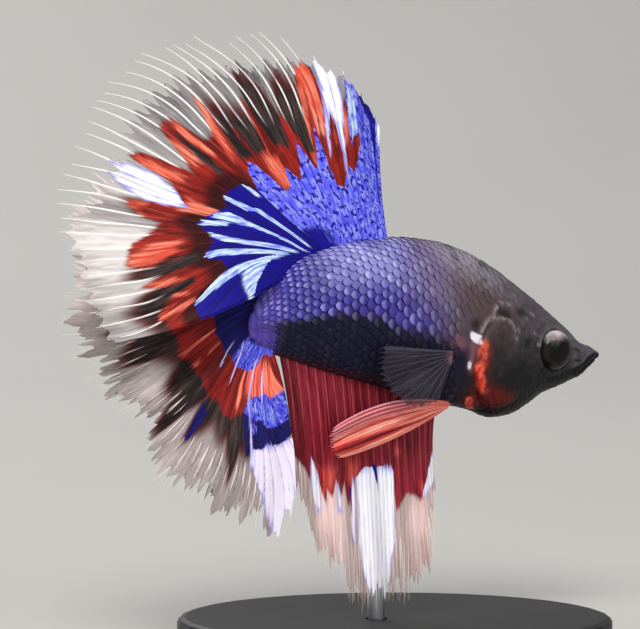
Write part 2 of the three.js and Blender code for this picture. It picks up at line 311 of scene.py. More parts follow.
# body form, the same lines as the solids
body = {
    "length": 46.5, "snout": (22.0, 12.9),
    "top": through([
        [0, 29.65], [0.017, 30.15], [0.037, 30.5], [0.055, 30.95], [0.075, 31.9], [0.135, 34.1],
        [0.22, 36.9], [0.305, 39.3], [0.39, 41.1], [0.48, 42.2], [0.60, 42.7], [0.74, 42.3],
        [0.855, 41.2], [0.93, 39.7], [0.97, 38.2], [1, 35.8]]),
    "bottom": through([
        [0, 28.6], [0.025, 27.8], [0.06, 26.65], [0.11, 25.75], [0.16, 25.05], [0.2, 24.0], [0.25, 23.05],
        [0.295, 22.9], [0.36, 23.9], [0.435, 24.65], [0.56, 26.1], [0.74, 28.3], [0.88, 30.2],
        [0.95, 31.4], [1, 32.9]]),
    "halfWidth": through([
        [0, 0.55], [0.02, 1.25], [0.06, 2.0], [0.12, 2.75], [0.20, 3.45], [0.30, 3.9], [0.42, 4.0],
        [0.55, 3.8], [0.70, 3.1], [0.82, 2.3], [0.93, 1.3], [1, 0.5]]),
    "widest": through([[0, 0.5], [0.15, 0.5], [0.35, 0.46], [0.6, 0.55], [1, 0.5]]),
    "squareness": 0.9,
}
spineStep = 0.005
spineBefore = 20      # steps kept ahead of the snout
spineCount = 261


def heading(t):
    return np.radians(43 - 58 * (np.asarray(t, float) - 0.6) ** 2)


spineAt = (np.arange(spineCount) - spineBefore) * spineStep
spineTurn = heading(spineAt[:-1] + spineStep / 2)
spineX = np.concatenate([[0], np.cumsum(-body["length"] * spineStep * np.cos(spineTurn))])
spineY = np.concatenate([[0], np.cumsum(-body["length"] * spineStep * np.sin(spineTurn))])
spineX += body["snout"][0] - spineX[spineBefore]
spineY += body["snout"][1] - spineY[spineBefore]


def beside(t, right, z):
    x = np.interp(t, spineAt, spineX)
    y = np.interp(t, spineAt, spineY)
    turn = heading(t)
    return np.stack(np.broadcast_arrays(x + right * np.sin(turn), y - right * np.cos(turn), z), -1)


def localPlace(points, t):
    # ahead, right and height of points, seen from the centre line at t
    offset = points - beside(t, 0, 0)
    turn = heading(t)
    ahead = offset[..., 0] * np.cos(turn) + offset[..., 1] * np.sin(turn)
    right = offset[..., 0] * np.sin(turn) - offset[..., 1] * np.cos(turn)
    return ahead, right, points[..., 2]


def skinPoint(t, angle, grow=0.0):
    # angle runs from the back, 0, over the right flank, a quarter turn, to the belly
    top = body["top"](t) + grow
    bottom = body["bottom"](t) - grow
    waist = bottom + (top - bottom) * body["widest"](t)
    rise = np.cos(angle)
    z = waist + rise * np.where(rise > 0, top - waist, waist - bottom)
    side = np.sign(np.sin(angle)) * np.abs(np.sin(angle)) ** body["squareness"]
    return beside(t, (body["halfWidth"](t) + grow) * side, z)


def foldOf(angle):
    # degrees from the back down either side
    turned = np.degrees(angle) % 360
    return np.where(turned > 180, 360 - turned, turned)


# markings and painted light and shade, shared by skin and scales
perDegree = 0.135     # about how many millimetres of skin one degree spans
flankFloor = through([
    [0.40, 100], [0.50, 106], [0.62, 105], [0.68, 99], [0.78, 95], [0.86, 98], [1, 102]])
jawLine = spiked([
    [0, 62], [0.014, 69], [0.05, 100], [0.072, 113], [0.096, 120], [0.20, 126], [0.34, 150], [1, 180]])
redStripe = [(0.389, 97), (0.391, 102), (0.392, 110), (0.398, 118), (0.391, 124), (0.380, 132),
             (0.371, 135)]
redFlame = [(0.396, 116), (0.392, 123), (0.382, 131)]
redHook = [(0.398, 151), (0.388, 160), (0.372, 170)]
membrane = [(0.419, 103), (0.424, 112), (0.424, 119)]
ridgeLines = [[(0.400, 91), (0.392, 84), (0.378, 79), (0.362, 75), (0.345, 73)],
              [(0.352, 71), (0.350, 67), (0.340, 64)], [(0.324, 59), (0.297, 56.5)],
              [(0.334, 71.5), (0.316, 70), (0.303, 71), (0.291, 76)]]
# spots of painted highlight on the head
highlightSpots = [(0.238, 62), (0.275, 75), (0.283, 81), (0.218, 54), (0.212, 73), (0.205, 84)]
# dents in the head; the paint darkens them as painted shade
deepSpots = [(0.322, 66.5), (0.300, 65), (0.250, 57), (0.068, 71), (0.068, 97), (0.408, 84), (0.236, 82)]


def lineDistance(x, y, line):
    # millimetres from each place to a line of several stretches
    nearest = np.full(np.shape(x), 1e3)
    for (ax, ay), (bx, by) in zip(line[:-1], line[1:]):
        wide, high = bx - ax, by - ay
        share = np.clip(((x - ax) * wide + (y - ay) * high) / (wide ** 2 + high ** 2), 0, 1)
        nearest = np.minimum(nearest, np.hypot(x - ax - share * wide, y - ay - share * high))
    return nearest


def skinDistance(t, fold, line):
    # the same for a line drawn on the skin, by share of the body's length and degrees of fold
    drawn = [(at * body["length"], degrees * perDegree) for at, degrees in line]
    return lineDistance(t * body["length"], fold * perDegree, drawn)


def stroke(t, fold, line, half):
    return bump(skinDistance(t, fold, line), 0, half)


def dab(t, fold, at, ahead, down, half):
    # a short stroke that starts at one place
    return stroke(t, fold, [at, (at[0] + ahead, at[1] + down)], half)


def spot(t, fold, middle, halfSizes):
    return np.exp(-((t - middle[0]) / halfSizes[0]) ** 2 - ((fold - middle[1]) / halfSizes[1]) ** 2)


def blot(t, fold, middle, halfSizes):
    # a spot with a crisp, squarish edge
    reach = np.abs((t - middle[0]) / halfSizes[0]) ** 3 + np.abs((fold - middle[1]) / halfSizes[1]) ** 3
    return 1 - rising(reach, 0.5, 1.4)


def bodyMarks(t, angle):
    fold = foldOf(angle)
    floor = flankFloor(t)
    upper = 1 - rising(fold, floor - 7, floor + 5)
    above = jawLine(t)
    ridges = [stroke(t, fold, line, 0.24) for line in ridgeLines]
    ridges += [0.9 * dab(t, fold, at, 0.004, 0, 0.22) for at in highlightSpots]
    embers = [(1.2, (0.352, 140), (0.045, 13)), (1.0, (0.310, 134), (0.035, 6)),
              (1.0, (0.385, 158), (0.03, 12)), (0.7, (0.372, 108), (0.012, 14))]
    return {
        "violet": rising(t, 0.44 + 0.0010 * np.clip(60 - fold, 0, 40), 0.62) * upper,
        # painted sheen: a lighter wash high on the front of the flank
        "lilacSheen": (1 - rising(fold, 52, 84)) * rising(t, 0.50, 0.64) * (1 - rising(t, 0.76, 0.90)),
        # lighter along the back, darker down the sides: painted shade
        "tone": 1 - rising(fold, 38, 118),
        "nape": spot(t, fold, (0.40, 64), (0.13, 27)),
        # painted highlight along the top of the head and nape
        "crestHighlight": (1 - rising(fold, 34, 62)) * rising(t, 0.20, 0.42) * (1 - rising(t, 0.56, 0.68)),
        "mist": bump(t, 0.535, 0.075) * (1 - rising(fold, 72, 104)),
        # dark navy underside: partly the fish's own colour, partly painted shade
        "belly": rising(fold, floor - 5, floor + 7) * rising(t, 0.40, 0.46),
        "haze": spot(t, fold, (0.50, 96), (0.09, 20)),
        # near-black lower head: partly its own colour, partly painted shade on the underside
        "jaw": rising(fold, above - 4, above + 6) * (1 - rising(t, 0.30, 0.42)),
        "snout": (1 - rising(t, 0.075, 0.115)) * (1 - rising(fold, above - 6, above + 1)),
        "maroon": rising(fold, 146, 172) * rising(t, 0.5, 0.68),
        "stem": rising(t, 0.925, 0.965) * (0.55 + 0.45 * rising(fold, 100, 130)),
        "red": np.clip(1.2 * stroke(t, fold, redStripe, 0.55), 0, 1),
        "glow": np.clip(stroke(t, fold, redFlame, 0.50) + stroke(t, fold, redHook, 0.55), 0, 1),
        "ember": np.clip(sum(strength * spot(t, fold, at, half) for strength, at, half in embers), 0, 1),
        # a painted highlight on the gill cover's edge
        "gillGlint": blot(t, fold, (0.414, 94.2), (0.020, 3.6)),
        "rose": np.clip(stroke(t, fold, membrane, 0.50) + 0.9 * spot(t, fold, (0.460, 103), (0.018, 5))
                        + spot(t, fold, (0.409, 101), (0.026, 4)), 0, 1),
        "fleck": blot(t, fold, (0.428, 117), (0.006, 3.2)),
        # painted highlights on the gill cover's ridges and on a few spots of the head
        "ridgeHighlight": np.clip(sum(ridges), 0, 1),
        # painted shade in the dents
        "hollowShade": np.clip(sum(dab(t, fold, at, 0.012, 2, 0.48) for at in deepSpots), 0, 1),
    }


# some of these tones paint light and shade: the shadow tone and the dents' tone are painted shade, the
# belly and jaw tones partly so; the pale violet, the crest's, the ridges' and the white tones are painted
# highlights
bodyTones = {
    "shadow": colour(15, 15, 18), "grey": colour(86, 80, 86), "nape": colour(94, 70, 68),
    "crestHighlight": colour(160, 152, 168), "haze": colour(78, 60, 68), "violetDeep": colour(60, 53, 148),
    "violetSheen": colour(160, 156, 232), "mist": colour(128, 114, 146), "belly": colour(8, 9, 38),
    "snout": colour(94, 89, 98), "jaw": colour(6, 7, 9), "hollowShade": colour(20, 17, 20),
    "maroon": colour(70, 16, 26), "stem": colour(96, 74, 180), "ember": colour(98, 14, 12),
    "ridgeHighlight": colour(170, 156, 163), "rose": colour(128, 84, 98), "stripeDeep": colour(146, 32, 24),
    "stripePale": colour(222, 92, 64), "flameDeep": colour(226, 52, 36), "flamePale": colour(255, 122, 92),
    "white": colour(246, 240, 252),
}


def paintBody(paint):
    # the fish's colours, from the marks laid on skin and scales, with painted shade and painted highlights
    # among them
    place = paint.place()
    cloud = paint.noise(place, 420.0, 4.0, 0.6)
    speck = paint.noise(place, 1500.0, 2.0)
    # painted sheen on the upper flank: pale violet over the deep violet
    flank = paint.mix(bodyTones["violetDeep"], bodyTones["violetSheen"], paint.mark("lilacSheen") * 0.85)
    stripe = paint.mix(bodyTones["stripeDeep"], bodyTones["stripePale"], speck.rising(0.30, 0.62))
    tones = dict(bodyTones, violet=flank, red=stripe)
    layers = {
        "nape": (0.55 + 0.7 * (cloud - 0.4)).clamped(), "crestHighlight": cloud.rising(0.25, 0.6) * 0.9,
        "haze": 0.7, "violet": 1.0, "mist": 0.80, "belly": 1.0, "snout": cloud.rising(0.15, 0.55) * 0.9,
        "jaw": 0.94, "hollowShade": 0.75, "maroon": 0.8, "stem": 0.8, "ember": 1.0,
        "ridgeHighlight": 0.16 + 0.50 * speck.rising(0.35, 0.6), "rose": 0.85, "red": 1.0,
    }
    # painted shade: the shadow tone low on the body, the grey along the back
    tone = (paint.mark("tone") + (cloud - 0.5) * 0.8 + (speck - 0.5) * 0.5).clamped()
    base = paint.mix(bodyTones["shadow"], bodyTones["grey"], tone)
    for key, strength in layers.items():
        base = paint.mix(base, tones[key], paint.mark(key) * strength)
    flame = paint.mix(bodyTones["flameDeep"], bodyTones["flamePale"], speck.rising(0.40, 0.70))
    base = paint.mix(base, flame, (paint.mark("glow") + (speck - 0.5) * 0.4).rising(0.20, 0.80))
    # white: the painted highlight on the gill cover's edge, and a small white fleck
    return paint.mix(base, bodyTones["white"], (paint.mark("gillGlint") + paint.mark("fleck") * 0.8).clamped())


skin = {
    "coat": 0.10, "around": 288, "headRows": 214, "bodyRows": 130, "headEnds": 0.44, "capRows": 7,
    "capDepth": 0.45,
    "mouth": [(0.5, 29.02), (-0.2, 28.95), (-1.5, 28.2), (-2.75, 27.5)],
    "cover": {"t": 0.30, "ahead": -0.6, "height": 29.1, "half": 4.7, "high": 4.0, "front": 1.2},
    "nostril": (0.062, 47),
    "pores": [(0.100, 62), (0.115, 52), (0.205, 62), (0.225, 72), (0.225, 86), (0.205, 98), (0.165, 112),
              (0.120, 112), (0.085, 104), (0.145, 46), (0.185, 50), (0.062, 90), (0.25, 58)],
}
eye = {"t": 0.150, "height": 30.05, "radius": 2.20, "halfDepth": 1.85, "sunk": 0.86, "turn": 1.0,
       "around": 96, "rings": 70}


def headRelief(points, t, angle):
    # how far the skin stands out, in millimetres, for lips, gill covers, ridges and pores
    fold = foldOf(angle)
    ahead, _, height = localPlace(points, 0.0)
    cleft = lineDistance(ahead, height, skin["mouth"])
    lift = -0.30 * bump(cleft, 0, 0.13) + 0.16 * bump(cleft, 0.42, 0.24)
    cover = skin["cover"]
    ahead, _, height = localPlace(points, cover["t"])
    x = (ahead - cover["ahead"]) / cover["high"]
    y = (height - cover["height"]) / cover["half"]
    edge = (np.hypot(x, y) - 1) * (cover["high"] + cover["half"]) / 2
    behind = 1 - rising(ahead, cover["front"] - 1.5, cover["front"] + 1.5)
    plate = (1 - rising(edge, -0.10, 0.10)) * rising(edge, -3.2, -0.2)
    lift = lift + behind * (0.28 * plate - 0.14 * bump(edge, 0.34, 0.26))
    for line in ridgeLines:
        lift = lift + 0.20 * stroke(t, fold, line, 0.22)
    for at in deepSpots:
        lift = lift - 0.14 * dab(t, fold, at, 0.010, 1, 0.34)
    for at in skin["pores"]:
        distance = skinDistance(t, fold, [at, (at[0], at[1] + 0.5)])
        lift = lift + 0.05 * bump(distance, 0.26, 0.12) - 0.10 * bump(distance, 0, 0.13)
    nose = skinDistance(t, fold, [skin["nostril"], (skin["nostril"][0] + 0.006, skin["nostril"][1])])
    return lift + 0.12 * bump(nose, 0.34, 0.14) - 0.28 * bump(nose, 0, 0.17)


def eyeRelief(points):
    # the socket: a low rim, then a drop behind the ball
    ahead, right, height = localPlace(points, eye["t"])
    distance = np.hypot(ahead, height - eye["height"]) / eye["radius"]
    socket = 1 - rising(distance, 0.88, 1.00)
    rim = 0.11 * bump(distance, 1.12, 0.10) - 0.05 * bump(distance, 1.36, 0.14)
    return np.where(np.abs(right) > 0.8, rim - 1.7 * socket, 0.0)


def makeSkin():
    rows = np.concatenate([np.linspace(0, skin["headEnds"], skin["headRows"], endpoint=False),
                           np.linspace(skin["headEnds"], 1, skin["bodyRows"])])
    turn = np.linspace(0, 2 * np.pi, skin["around"], endpoint=False)
    t, angle = np.meshgrid(rows, turn, indexing="ij")
    grid = skinPoint(t, angle, -skin["coat"])
    normals = gridNormals(grid, True)
    centre = beside(rows, 0, body["bottom"](rows))[:, None, :]
    outward = np.sign(np.einsum("ijk,ijk->ij", normals, grid - centre).sum())
    normals = normals * outward
    relief = headRelief(grid, t, angle) * (1 - rising(t, 0.50, 0.56))
    rough = 0.025 * np.sin(t * 410 + 3 * np.sin(angle * 7)) * np.sin(angle * 31)
    rough += 0.03 * np.sin(t * 170 + 2 * np.sin(angle * 5)) * np.sin(angle * 17 + 2 * np.sin(t * 60))
    rough *= 1 - rising(t, 0.35, 0.5)      # dies away behind the head
    fade = rising(t, 0.0, 0.008)[..., None]
    grid = grid + normals * fade * (relief + eyeRelief(grid) + rough)[..., None]
    rings = [grid]
    ts = [t]
    angles = [angle]
    for end, sign in ((0, 1), (-1, -1)):
        ring = grid[end]
        middle = ring.mean(0)
        ahead = sign * unit(beside(rows[end] - 0.01, 0, 0) - beside(rows[end] + 0.01, 0, 0))
        bends = np.radians(np.linspace(0, 90, skin["capRows"]))[1:]
        out = ahead * skin["capDepth"]
        caps = [middle + (ring - middle) * max(math.cos(bend), 0.02) + out * math.sin(bend)
                for bend in bends]
        capT = np.broadcast_to(t[end], (len(caps), len(turn)))
        capAngle = np.broadcast_to(angle[end], (len(caps), len(turn)))
        if end == 0:
            rings.insert(0, np.array(caps[::-1]))
            ts.insert(0, capT)
            angles.insert(0, capAngle)
        else:
            rings.append(np.array(caps))
            ts.append(capT)
            angles.append(capAngle)
    points = np.concatenate(rings)
    t = np.concatenate(ts)
    angle = np.concatenate(angles)
    faces = tubeFaces(len(points), len(turn))
    marks = bodyMarks(t, angle)
    ahead, _, height = localPlace(points, eye["t"])
    distance = np.hypot(ahead, height - eye["height"]) / eye["radius"]
    # painted light and shade round the eye and mouth: a lighter ring above the eye, a dark ring in its gap
    # and a dark line in the mouth's groove
    marks["browHighlight"] = bump(distance, 1.14, 0.10) * rising(height, eye["height"] + 0.3, eye["height"] + 1.6)
    marks["socket"] = 1 - rising(distance, 0.94, 1.01)
    ahead, _, height = localPlace(points, 0.0)
    marks["cleft"] = bump(lineDistance(ahead, height, skin["mouth"]), 0, 0.16)
    marks["plain"] = 1 - rising(t, 0.32, 0.46)
    replaced = ["head", "lower_jaw", "gill_cover_right", "gill_cover_left", "trunk", "tail_stem"]
    piece = makePiece("skin", points, faces, marks, "head_skin", *replaced)
    piece.data.materials.append(skinPaint())


# the lighter tone above the eye is a painted highlight; the socket and cleft tones are painted shade in the
# gap round the eye and in the mouth's groove; the pit tone is mottling that is also painted shade in the
# low gaps between the bumps
skinTones = {
    "browHighlight": colour(112, 102, 108), "socket": colour(22, 18, 20), "cleft": colour(14, 12, 14),
    "pit": colour(16, 15, 18),
}


def skinPaint():
    paint = Paint("skin_paint")
    place = paint.place()
    base = paintBody(paint)
    # painted highlight above the eye, painted shade round it and along the mouth
    for key, strength in (("browHighlight", 0.5), ("socket", 1.0), ("cleft", 0.9)):
        base = paint.mix(base, skinTones[key], paint.mark(key) * strength)
    # mottling darkest in the low gaps between the bumps, which is painted shade there as well
    cells = paint.node("TexVoronoi", {"feature": "F1"}, {"Vector": place, "Scale": 1100.0}, "Distance")
    grain = paint.noise(place, 2600.0, 3.0)
    tone = cells.rising(0.1, 0.75)
    base = paint.mix(base, skinTones["pit"], tone * paint.mark("plain") * 0.30)
    height = grain * 0.5 + (1 - tone) * paint.mark("plain")
    normal = paint.bumped(height, 0.45, 0.00012)
    gloss = 0.46 + 0.20 * grain
    return paint.finish(Base_Color=base, Roughness=gloss, Normal=normal, Coat_Weight=0.08,
                        Coat_Roughness=0.25, Specular_IOR_Level=0.16)


makeSkin()
print("skin ready")


scales = {
    "around": 38, "firstRow": 0.20, "lastRow": 0.985, "spacing": 0.0196, "long": 2.1, "wide": 1.24,
    "alongSteps": 7, "acrossSteps": 7, "thick": 0.045, "rootDepth": 0.15, "tipLift": 0.12,
    "patch": 0.003,
    "starts": through([
        [0, 0.23], [40, 0.28], [62, 0.35], [76, 0.40], [90, 0.448], [112, 0.448], [140, 0.43],
        [180, 0.40]]),
}


def scaleRoots(rightSide):
    # quincunx rows; each row runs round the body
    roots = []
    row = 0
    t = scales["firstRow"]
    while t < scales["lastRow"]:
        for k in range(scales["around"]):
            angle = (k + 0.5 * (row % 2) + 0.25) * 2 * np.pi / scales["around"]
            onSide = (angle % (2 * np.pi) < np.pi) == rightSide
            if onSide and t > scales["starts"](foldOf(angle)):
                roots.append((t, angle))
        row += 1
        t += scales["spacing"] * (1 - 0.30 * rising(t, 0.80, 1.0))
    return np.array(roots)


def makeScales(name, rightSide):
    roots = scaleRoots(rightSide)
    count = len(roots)
    wobble = dice.normal(0, 1, (count, 3))
    s = np.linspace(0, 1, scales["alongSteps"])[None, :, None]
    c = np.linspace(-1, 1, scales["acrossSteps"])[None, None, :]
    t0 = roots[:, 0, None, None]
    angle0 = roots[:, 1, None, None]
    outline = np.clip(1 - np.abs(s - 0.45) ** 3.4 / 0.55 ** 3.4, 0, 1) ** 0.5 * 0.90 + 0.10 * (1 - s)
    size = 1 + 0.05 * wobble[:, 0, None, None]
    slant = 0.10 * wobble[:, 1, None, None]
    spanT = scales["spacing"] * scales["long"] * size * (1 - 0.30 * rising(t0, 0.80, 1.0))
    spanAngle = np.pi / scales["around"] * scales["wide"] * size
    t = t0 + (s - 0.30 - 0.10 * c ** 2 * s) * spanT
    angle = angle0 + (c * outline + slant * (s - 0.5)) * spanAngle
    small = 0.0005
    point = skinPoint(t, angle, -skin["coat"])
    ahead = skinPoint(t + small, angle, -skin["coat"]) - point
    over = skinPoint(t, angle + small, -skin["coat"]) - point
    normal = unit(np.cross(ahead, over))
    outward = point - beside(t, 0, (body["top"](t) + body["bottom"](t)) / 2)
    normal = normal * np.sign(np.einsum("abcd,abcd->abc", normal, outward))[..., None]
    flat = (0.35 + 0.65 * rising(t0, 0.38, 0.60)) * (1 - 0.75 * rising(foldOf(angle0), 88, 106))
    flat = flat * (1 - 0.45 * rising(t0, 0.80, 1.0))
    tip = scales["tipLift"] * flat * (1 + 0.12 * wobble[:, 2, None, None])
    lift = -scales["rootDepth"] * (1 - s) ** 1.5 + tip * s ** 1.3 - 0.035 * c ** 2 * (1 - 0.5 * s)
    top = point + normal * (lift + scales["thick"])[..., None]
    under = point + normal * lift[..., None]
    rows, columns = scales["alongSteps"], scales["acrossSteps"]
    each = rows * columns
    points = np.concatenate([top.reshape(count, each, 3), under.reshape(count, each, 3)], 1)
    upper = gridFaces(rows, columns)
    lower = upper[:, ::-1] + each
    loop = edgeLoop(rows, columns)
    rim = [[a, a + each, b + each, b] for a, b in zip(loop, loop[1:] + loop[:1])]
    faces = np.concatenate([upper, lower, np.array(rim)])
    allFaces = (faces[None] + 2 * each * np.arange(count)[:, None, None]).reshape(-1, 4)
    whole = (count, 2 * each)
    marks = bodyMarks(np.broadcast_to(roots[:, :1], whole), np.broadcast_to(roots[:, 1:], whole))
    along = np.broadcast_to(s, t.shape).reshape(count, each)
    across = np.broadcast_to(c, t.shape).reshape(count, each)
    marks["gillGlint"] = np.zeros(whole)      # the painted highlight on the gill edge is on the skin alone
    marks["along"] = np.concatenate([along] * 2, 1)
    marks["across"] = np.concatenate([across] * 2, 1)
    marks["chance"] = np.broadcast_to(dice.random((count, 1)), whole)
    piece = makePiece(name, points, allFaces, marks, "scale_skin")
    u = roots[:, 1:] / (2 * np.pi) + marks["across"] * 0.5 * scales["patch"]
    v = roots[:, :1] + (marks["along"] - 0.5) * scales["patch"]
    places = np.stack([u, v], -1).reshape(-1, 2)
    corners = np.zeros(len(piece.data.loops), np.int32)
    piece.data.loops.foreach_get("vertex_index", corners)
    layer = piece.data.uv_layers.new(name="OFBake")
    layer.data.foreach_set("uv", places[corners].astype(np.float32).ravel())
    piece.data.materials.append(scalePaint())


# the shine tones and the grey tone paint highlights on the scales' exposed crescents
scaleTones = {
    "shineDeep": colour(122, 110, 214), "shinePale": colour(208, 204, 252), "grey": colour(150, 138, 142),
    "patch": colour(62, 50, 130), "violetRim": colour(40, 32, 106), "greyRim": colour(22, 19, 24),
}


def scalePaint():
    paint = Paint("scale_paint")
    along = paint.mark("along")
    across = paint.mark("across")
    chance = paint.mark("chance")
    base = paintBody(paint)
    side = across * across
    violet = paint.mark("violet")
    # each scale's exposed rear crescent carries a painted highlight: pale violet on violet scales, grey on
    # the others
    tip = along.rising(0.50, 0.76) * (1 - along.rising(0.88, 0.98))
    crescent = tip * (1 - side.rising(0.10, 0.70))
    covered = 1 - along.rising(0.30, 0.55)
    rimShade = (along.rising(0.88, 1.0) + side.rising(0.50, 1.0) + 0.6 * covered).clamped()
    calm = 1 - 0.92 * paint.mark("belly")
    pale = (paint.mark("lilacSheen") * 0.75 + chance * 0.45 - 0.1).clamped()
    shine = paint.mix(scaleTones["shineDeep"], scaleTones["shinePale"], pale)
    base = paint.mix(base, shine, crescent * violet * (0.30 + 0.70 * chance.rising(0.0, 0.9)))
    grey = crescent * (1 - violet) * chance.rising(0.35, 0.9)
    base = paint.mix(base, scaleTones["grey"], grey * calm * 0.45)
    patchy = paint.noise(paint.place(), 300.0, 2.0).rising(0.38, 0.62)
    base = paint.mix(base, scaleTones["patch"], (1 - patchy) * violet * 0.40)
    base = paint.mix(base, scaleTones["violetRim"], rimShade * violet * calm * 0.38)
    base = paint.mix(base, scaleTones["greyRim"], rimShade * (1 - violet) * calm * 0.24)
    streak = paint.node("TexWave", {"wave_type": "BANDS"}, {
        "Vector": paint.vector(across * 0.9, along * 0.2), "Scale": 3.0, "Distortion": 0.6})
    return paint.finish(Base_Color=base, Roughness=0.44 + 0.36 * paint.mark("belly"),
                        Metallic=violet * 0.25 * crescent, Normal=paint.bumped(streak, 0.25, 0.00005),
                        Coat_Weight=0.04, Coat_Roughness=0.20, Specular_IOR_Level=0.24)


makeScales("scales_right", True)
makeScales("scales_left", False)
print("scales ready")


eyeProfile = [(0.0, 1.0), (0.30, 0.985), (0.50, 0.935), (0.585, 0.885), (0.60, 0.845), (0.63, 0.83),
              (0.72, 0.77), (0.82, 0.665), (0.90, 0.535), (0.935, 0.45), (0.97, 0.36), (1.0, 0.16),
              (0.985, -0.1), (0.85, -0.5), (0.5, -0.83), (0.2, -0.96)]


def makeEye(name, sign, node):
    turn = np.linspace(0, 2 * np.pi, eye["around"], endpoint=False)
    stops = range(len(eyeProfile))
    smooth = np.linspace(0, stops[-1], eye["rings"])
    radial, deep = [np.interp(smooth, stops, column)[1:, None] + 0 * turn for column in zip(*eyeProfile)]
    ahead = radial * np.cos(turn) * eye["radius"]
    up = radial * np.sin(turn) * eye["radius"]
    out = deep * eye["halfDepth"]
    facing = heading(eye["t"]) + math.radians(eye["turn"]) * sign
    centre = beside(eye["t"], sign * (body["halfWidth"](eye["t"]) - eye["sunk"]), eye["height"])
    outward = np.array([np.sin(facing), -np.cos(facing), 0]) * sign
    forward = np.array([np.cos(facing), np.sin(facing), 0])
    points = centre + ahead[..., None] * forward + out[..., None] * outward + up[..., None] * [0, 0, 1]
    marks = {"radial": radial, "upward": np.sin(turn) * radial, "turn": turn + 0 * radial}
    piece = makePiece(name, points, tubeFaces(len(points), len(turn)), marks, "eye", node)
    piece.data.materials.append(eyePaint)


# the arc tones paint a highlight over the top of the ball; the rim tone paints shade where the ball meets
# the socket
eyeTones = {
    "pupil": colour(3, 3, 4), "irisDeep": colour(14, 12, 13), "irisPale": colour(34, 27, 29),
    "arcDeep": colour(84, 70, 75), "arcPale": colour(206, 192, 194), "rim": colour(22, 19, 21),
}


def makeEyePaint():
    paint = Paint("eye_paint")
    radial = paint.mark("radial")
    upward = paint.mark("upward")
    threads = paint.noise(paint.vector(paint.mark("turn") * 6.0, radial * 2.0), 3.0, 3.0)
    mottle = paint.noise(paint.place(), 900.0, 3.0)
    iris = paint.mix(eyeTones["irisDeep"], eyeTones["irisPale"], threads)
    # painted highlight: a pale arc over the top of the ball, brightest at the very top
    lit = (upward + (mottle - 0.5) * 0.40).rising(0.36, 0.62)
    bright = (upward + (mottle - 0.5) * 0.5).rising(0.48, 0.98)
    arc = paint.mix(eyeTones["arcDeep"], eyeTones["arcPale"], bright)
    whole = paint.mix(eyeTones["pupil"], iris, radial.rising(0.52, 0.66))
    whole = paint.mix(whole, arc, lit * 0.92)
    # painted shade at the ball's edge
    whole = paint.mix(whole, eyeTones["rim"], radial.rising(0.93, 1.0))
    return paint.finish(Base_Color=whole, Roughness=0.28, Coat_Weight=0.16, Coat_Roughness=0.05,
                        Specular_IOR_Level=0.12)


eyePaint = makeEyePaint()
makeEye("eye_right_ball", 1, "eye_right")
makeEye("eye_left_ball", -1, "eye_left")
print("eyes ready")


def steady(value):
    return lambda a: np.zeros_like(np.asarray(a, float)) + value


def finPoint(fin, across, out):
    across, out = np.broadcast_arrays(np.asarray(across, float), np.asarray(out, float))
    turn = np.radians(fin["angle"](across))
    reach = fin["reach"](across) * out
    bow = fin["bow"](across) * out * (1 - out) * 4
    x = reach * np.cos(turn) - bow * np.sin(turn)
    z = reach * np.sin(turn) + bow * np.cos(turn)
    settle = 1 - np.clip(1 - out, 0, 1) ** fin["ease"]
    swing = fin["waves"] * across + fin["phase"] + fin["twist"] * out
    wave = fin["ripple"] * out ** 1.6 * np.sin(2 * np.pi * swing)
    frill = fin["frill"] * out ** 4 * np.sin(2 * np.pi * (fin["frills"] * across + 0.6 * out + 0.4 * wave))
    y = x * math.tan(math.radians(fin["yaw"])) + fin["drift"](across) * settle + wave + frill
    place = fin["root"](across) + np.stack([x, y, z], -1)
    if "mirror" in fin:
        middle, aside = fin["mirror"]
        place = place - 2 * ((place - middle) @ aside)[..., None] * aside
    return place


def rayCurl(fin, ray, out):
    return fin["curl"](ray) * np.clip(out / 0.26 - 2.85, 0, 1.2) ** 2


def raySlide(fin, ray, out):
    # how far a ray lies off its place on the margin: leaning at the root, curling at the tip
    return fin["lean"](ray) * np.clip(1 - out, 0, 1) ** 3 - rayCurl(fin, ray, out)


def rayPlace(fin, across, out):
    ray = np.array(across, float)
    for _ in range(12):      # each round comes nearer
        ray = across + raySlide(fin, ray, out)
    return ray


def acrossOf(fin, ray, out):
    return ray - raySlide(fin, ray, out)


def finNormals(fin, across, out):
    small = 0.002
    point = finPoint(fin, across, out)
    along = finPoint(fin, across + small, out) - point
    away = finPoint(fin, across, out + small) - point
    return unit(np.cross(along, away))


web = {"margin": 0.028, "foot": 0.22, "rib": 0.07, "flute": 0.06}      # half thicknesses
tube = {"steps": 38, "sides": 6, "flat": 0.85, "raised": 0.03, "starts": 0.04, "before": 0.04,
        "taperFrom": 0.22, "taper": 0.8}


def valleys(count, ray):
    # 0 on each of so many rays, 1 midway between two
    return 0.5 - 0.5 * np.cos(2 * np.pi * (count * ray - 0.5))


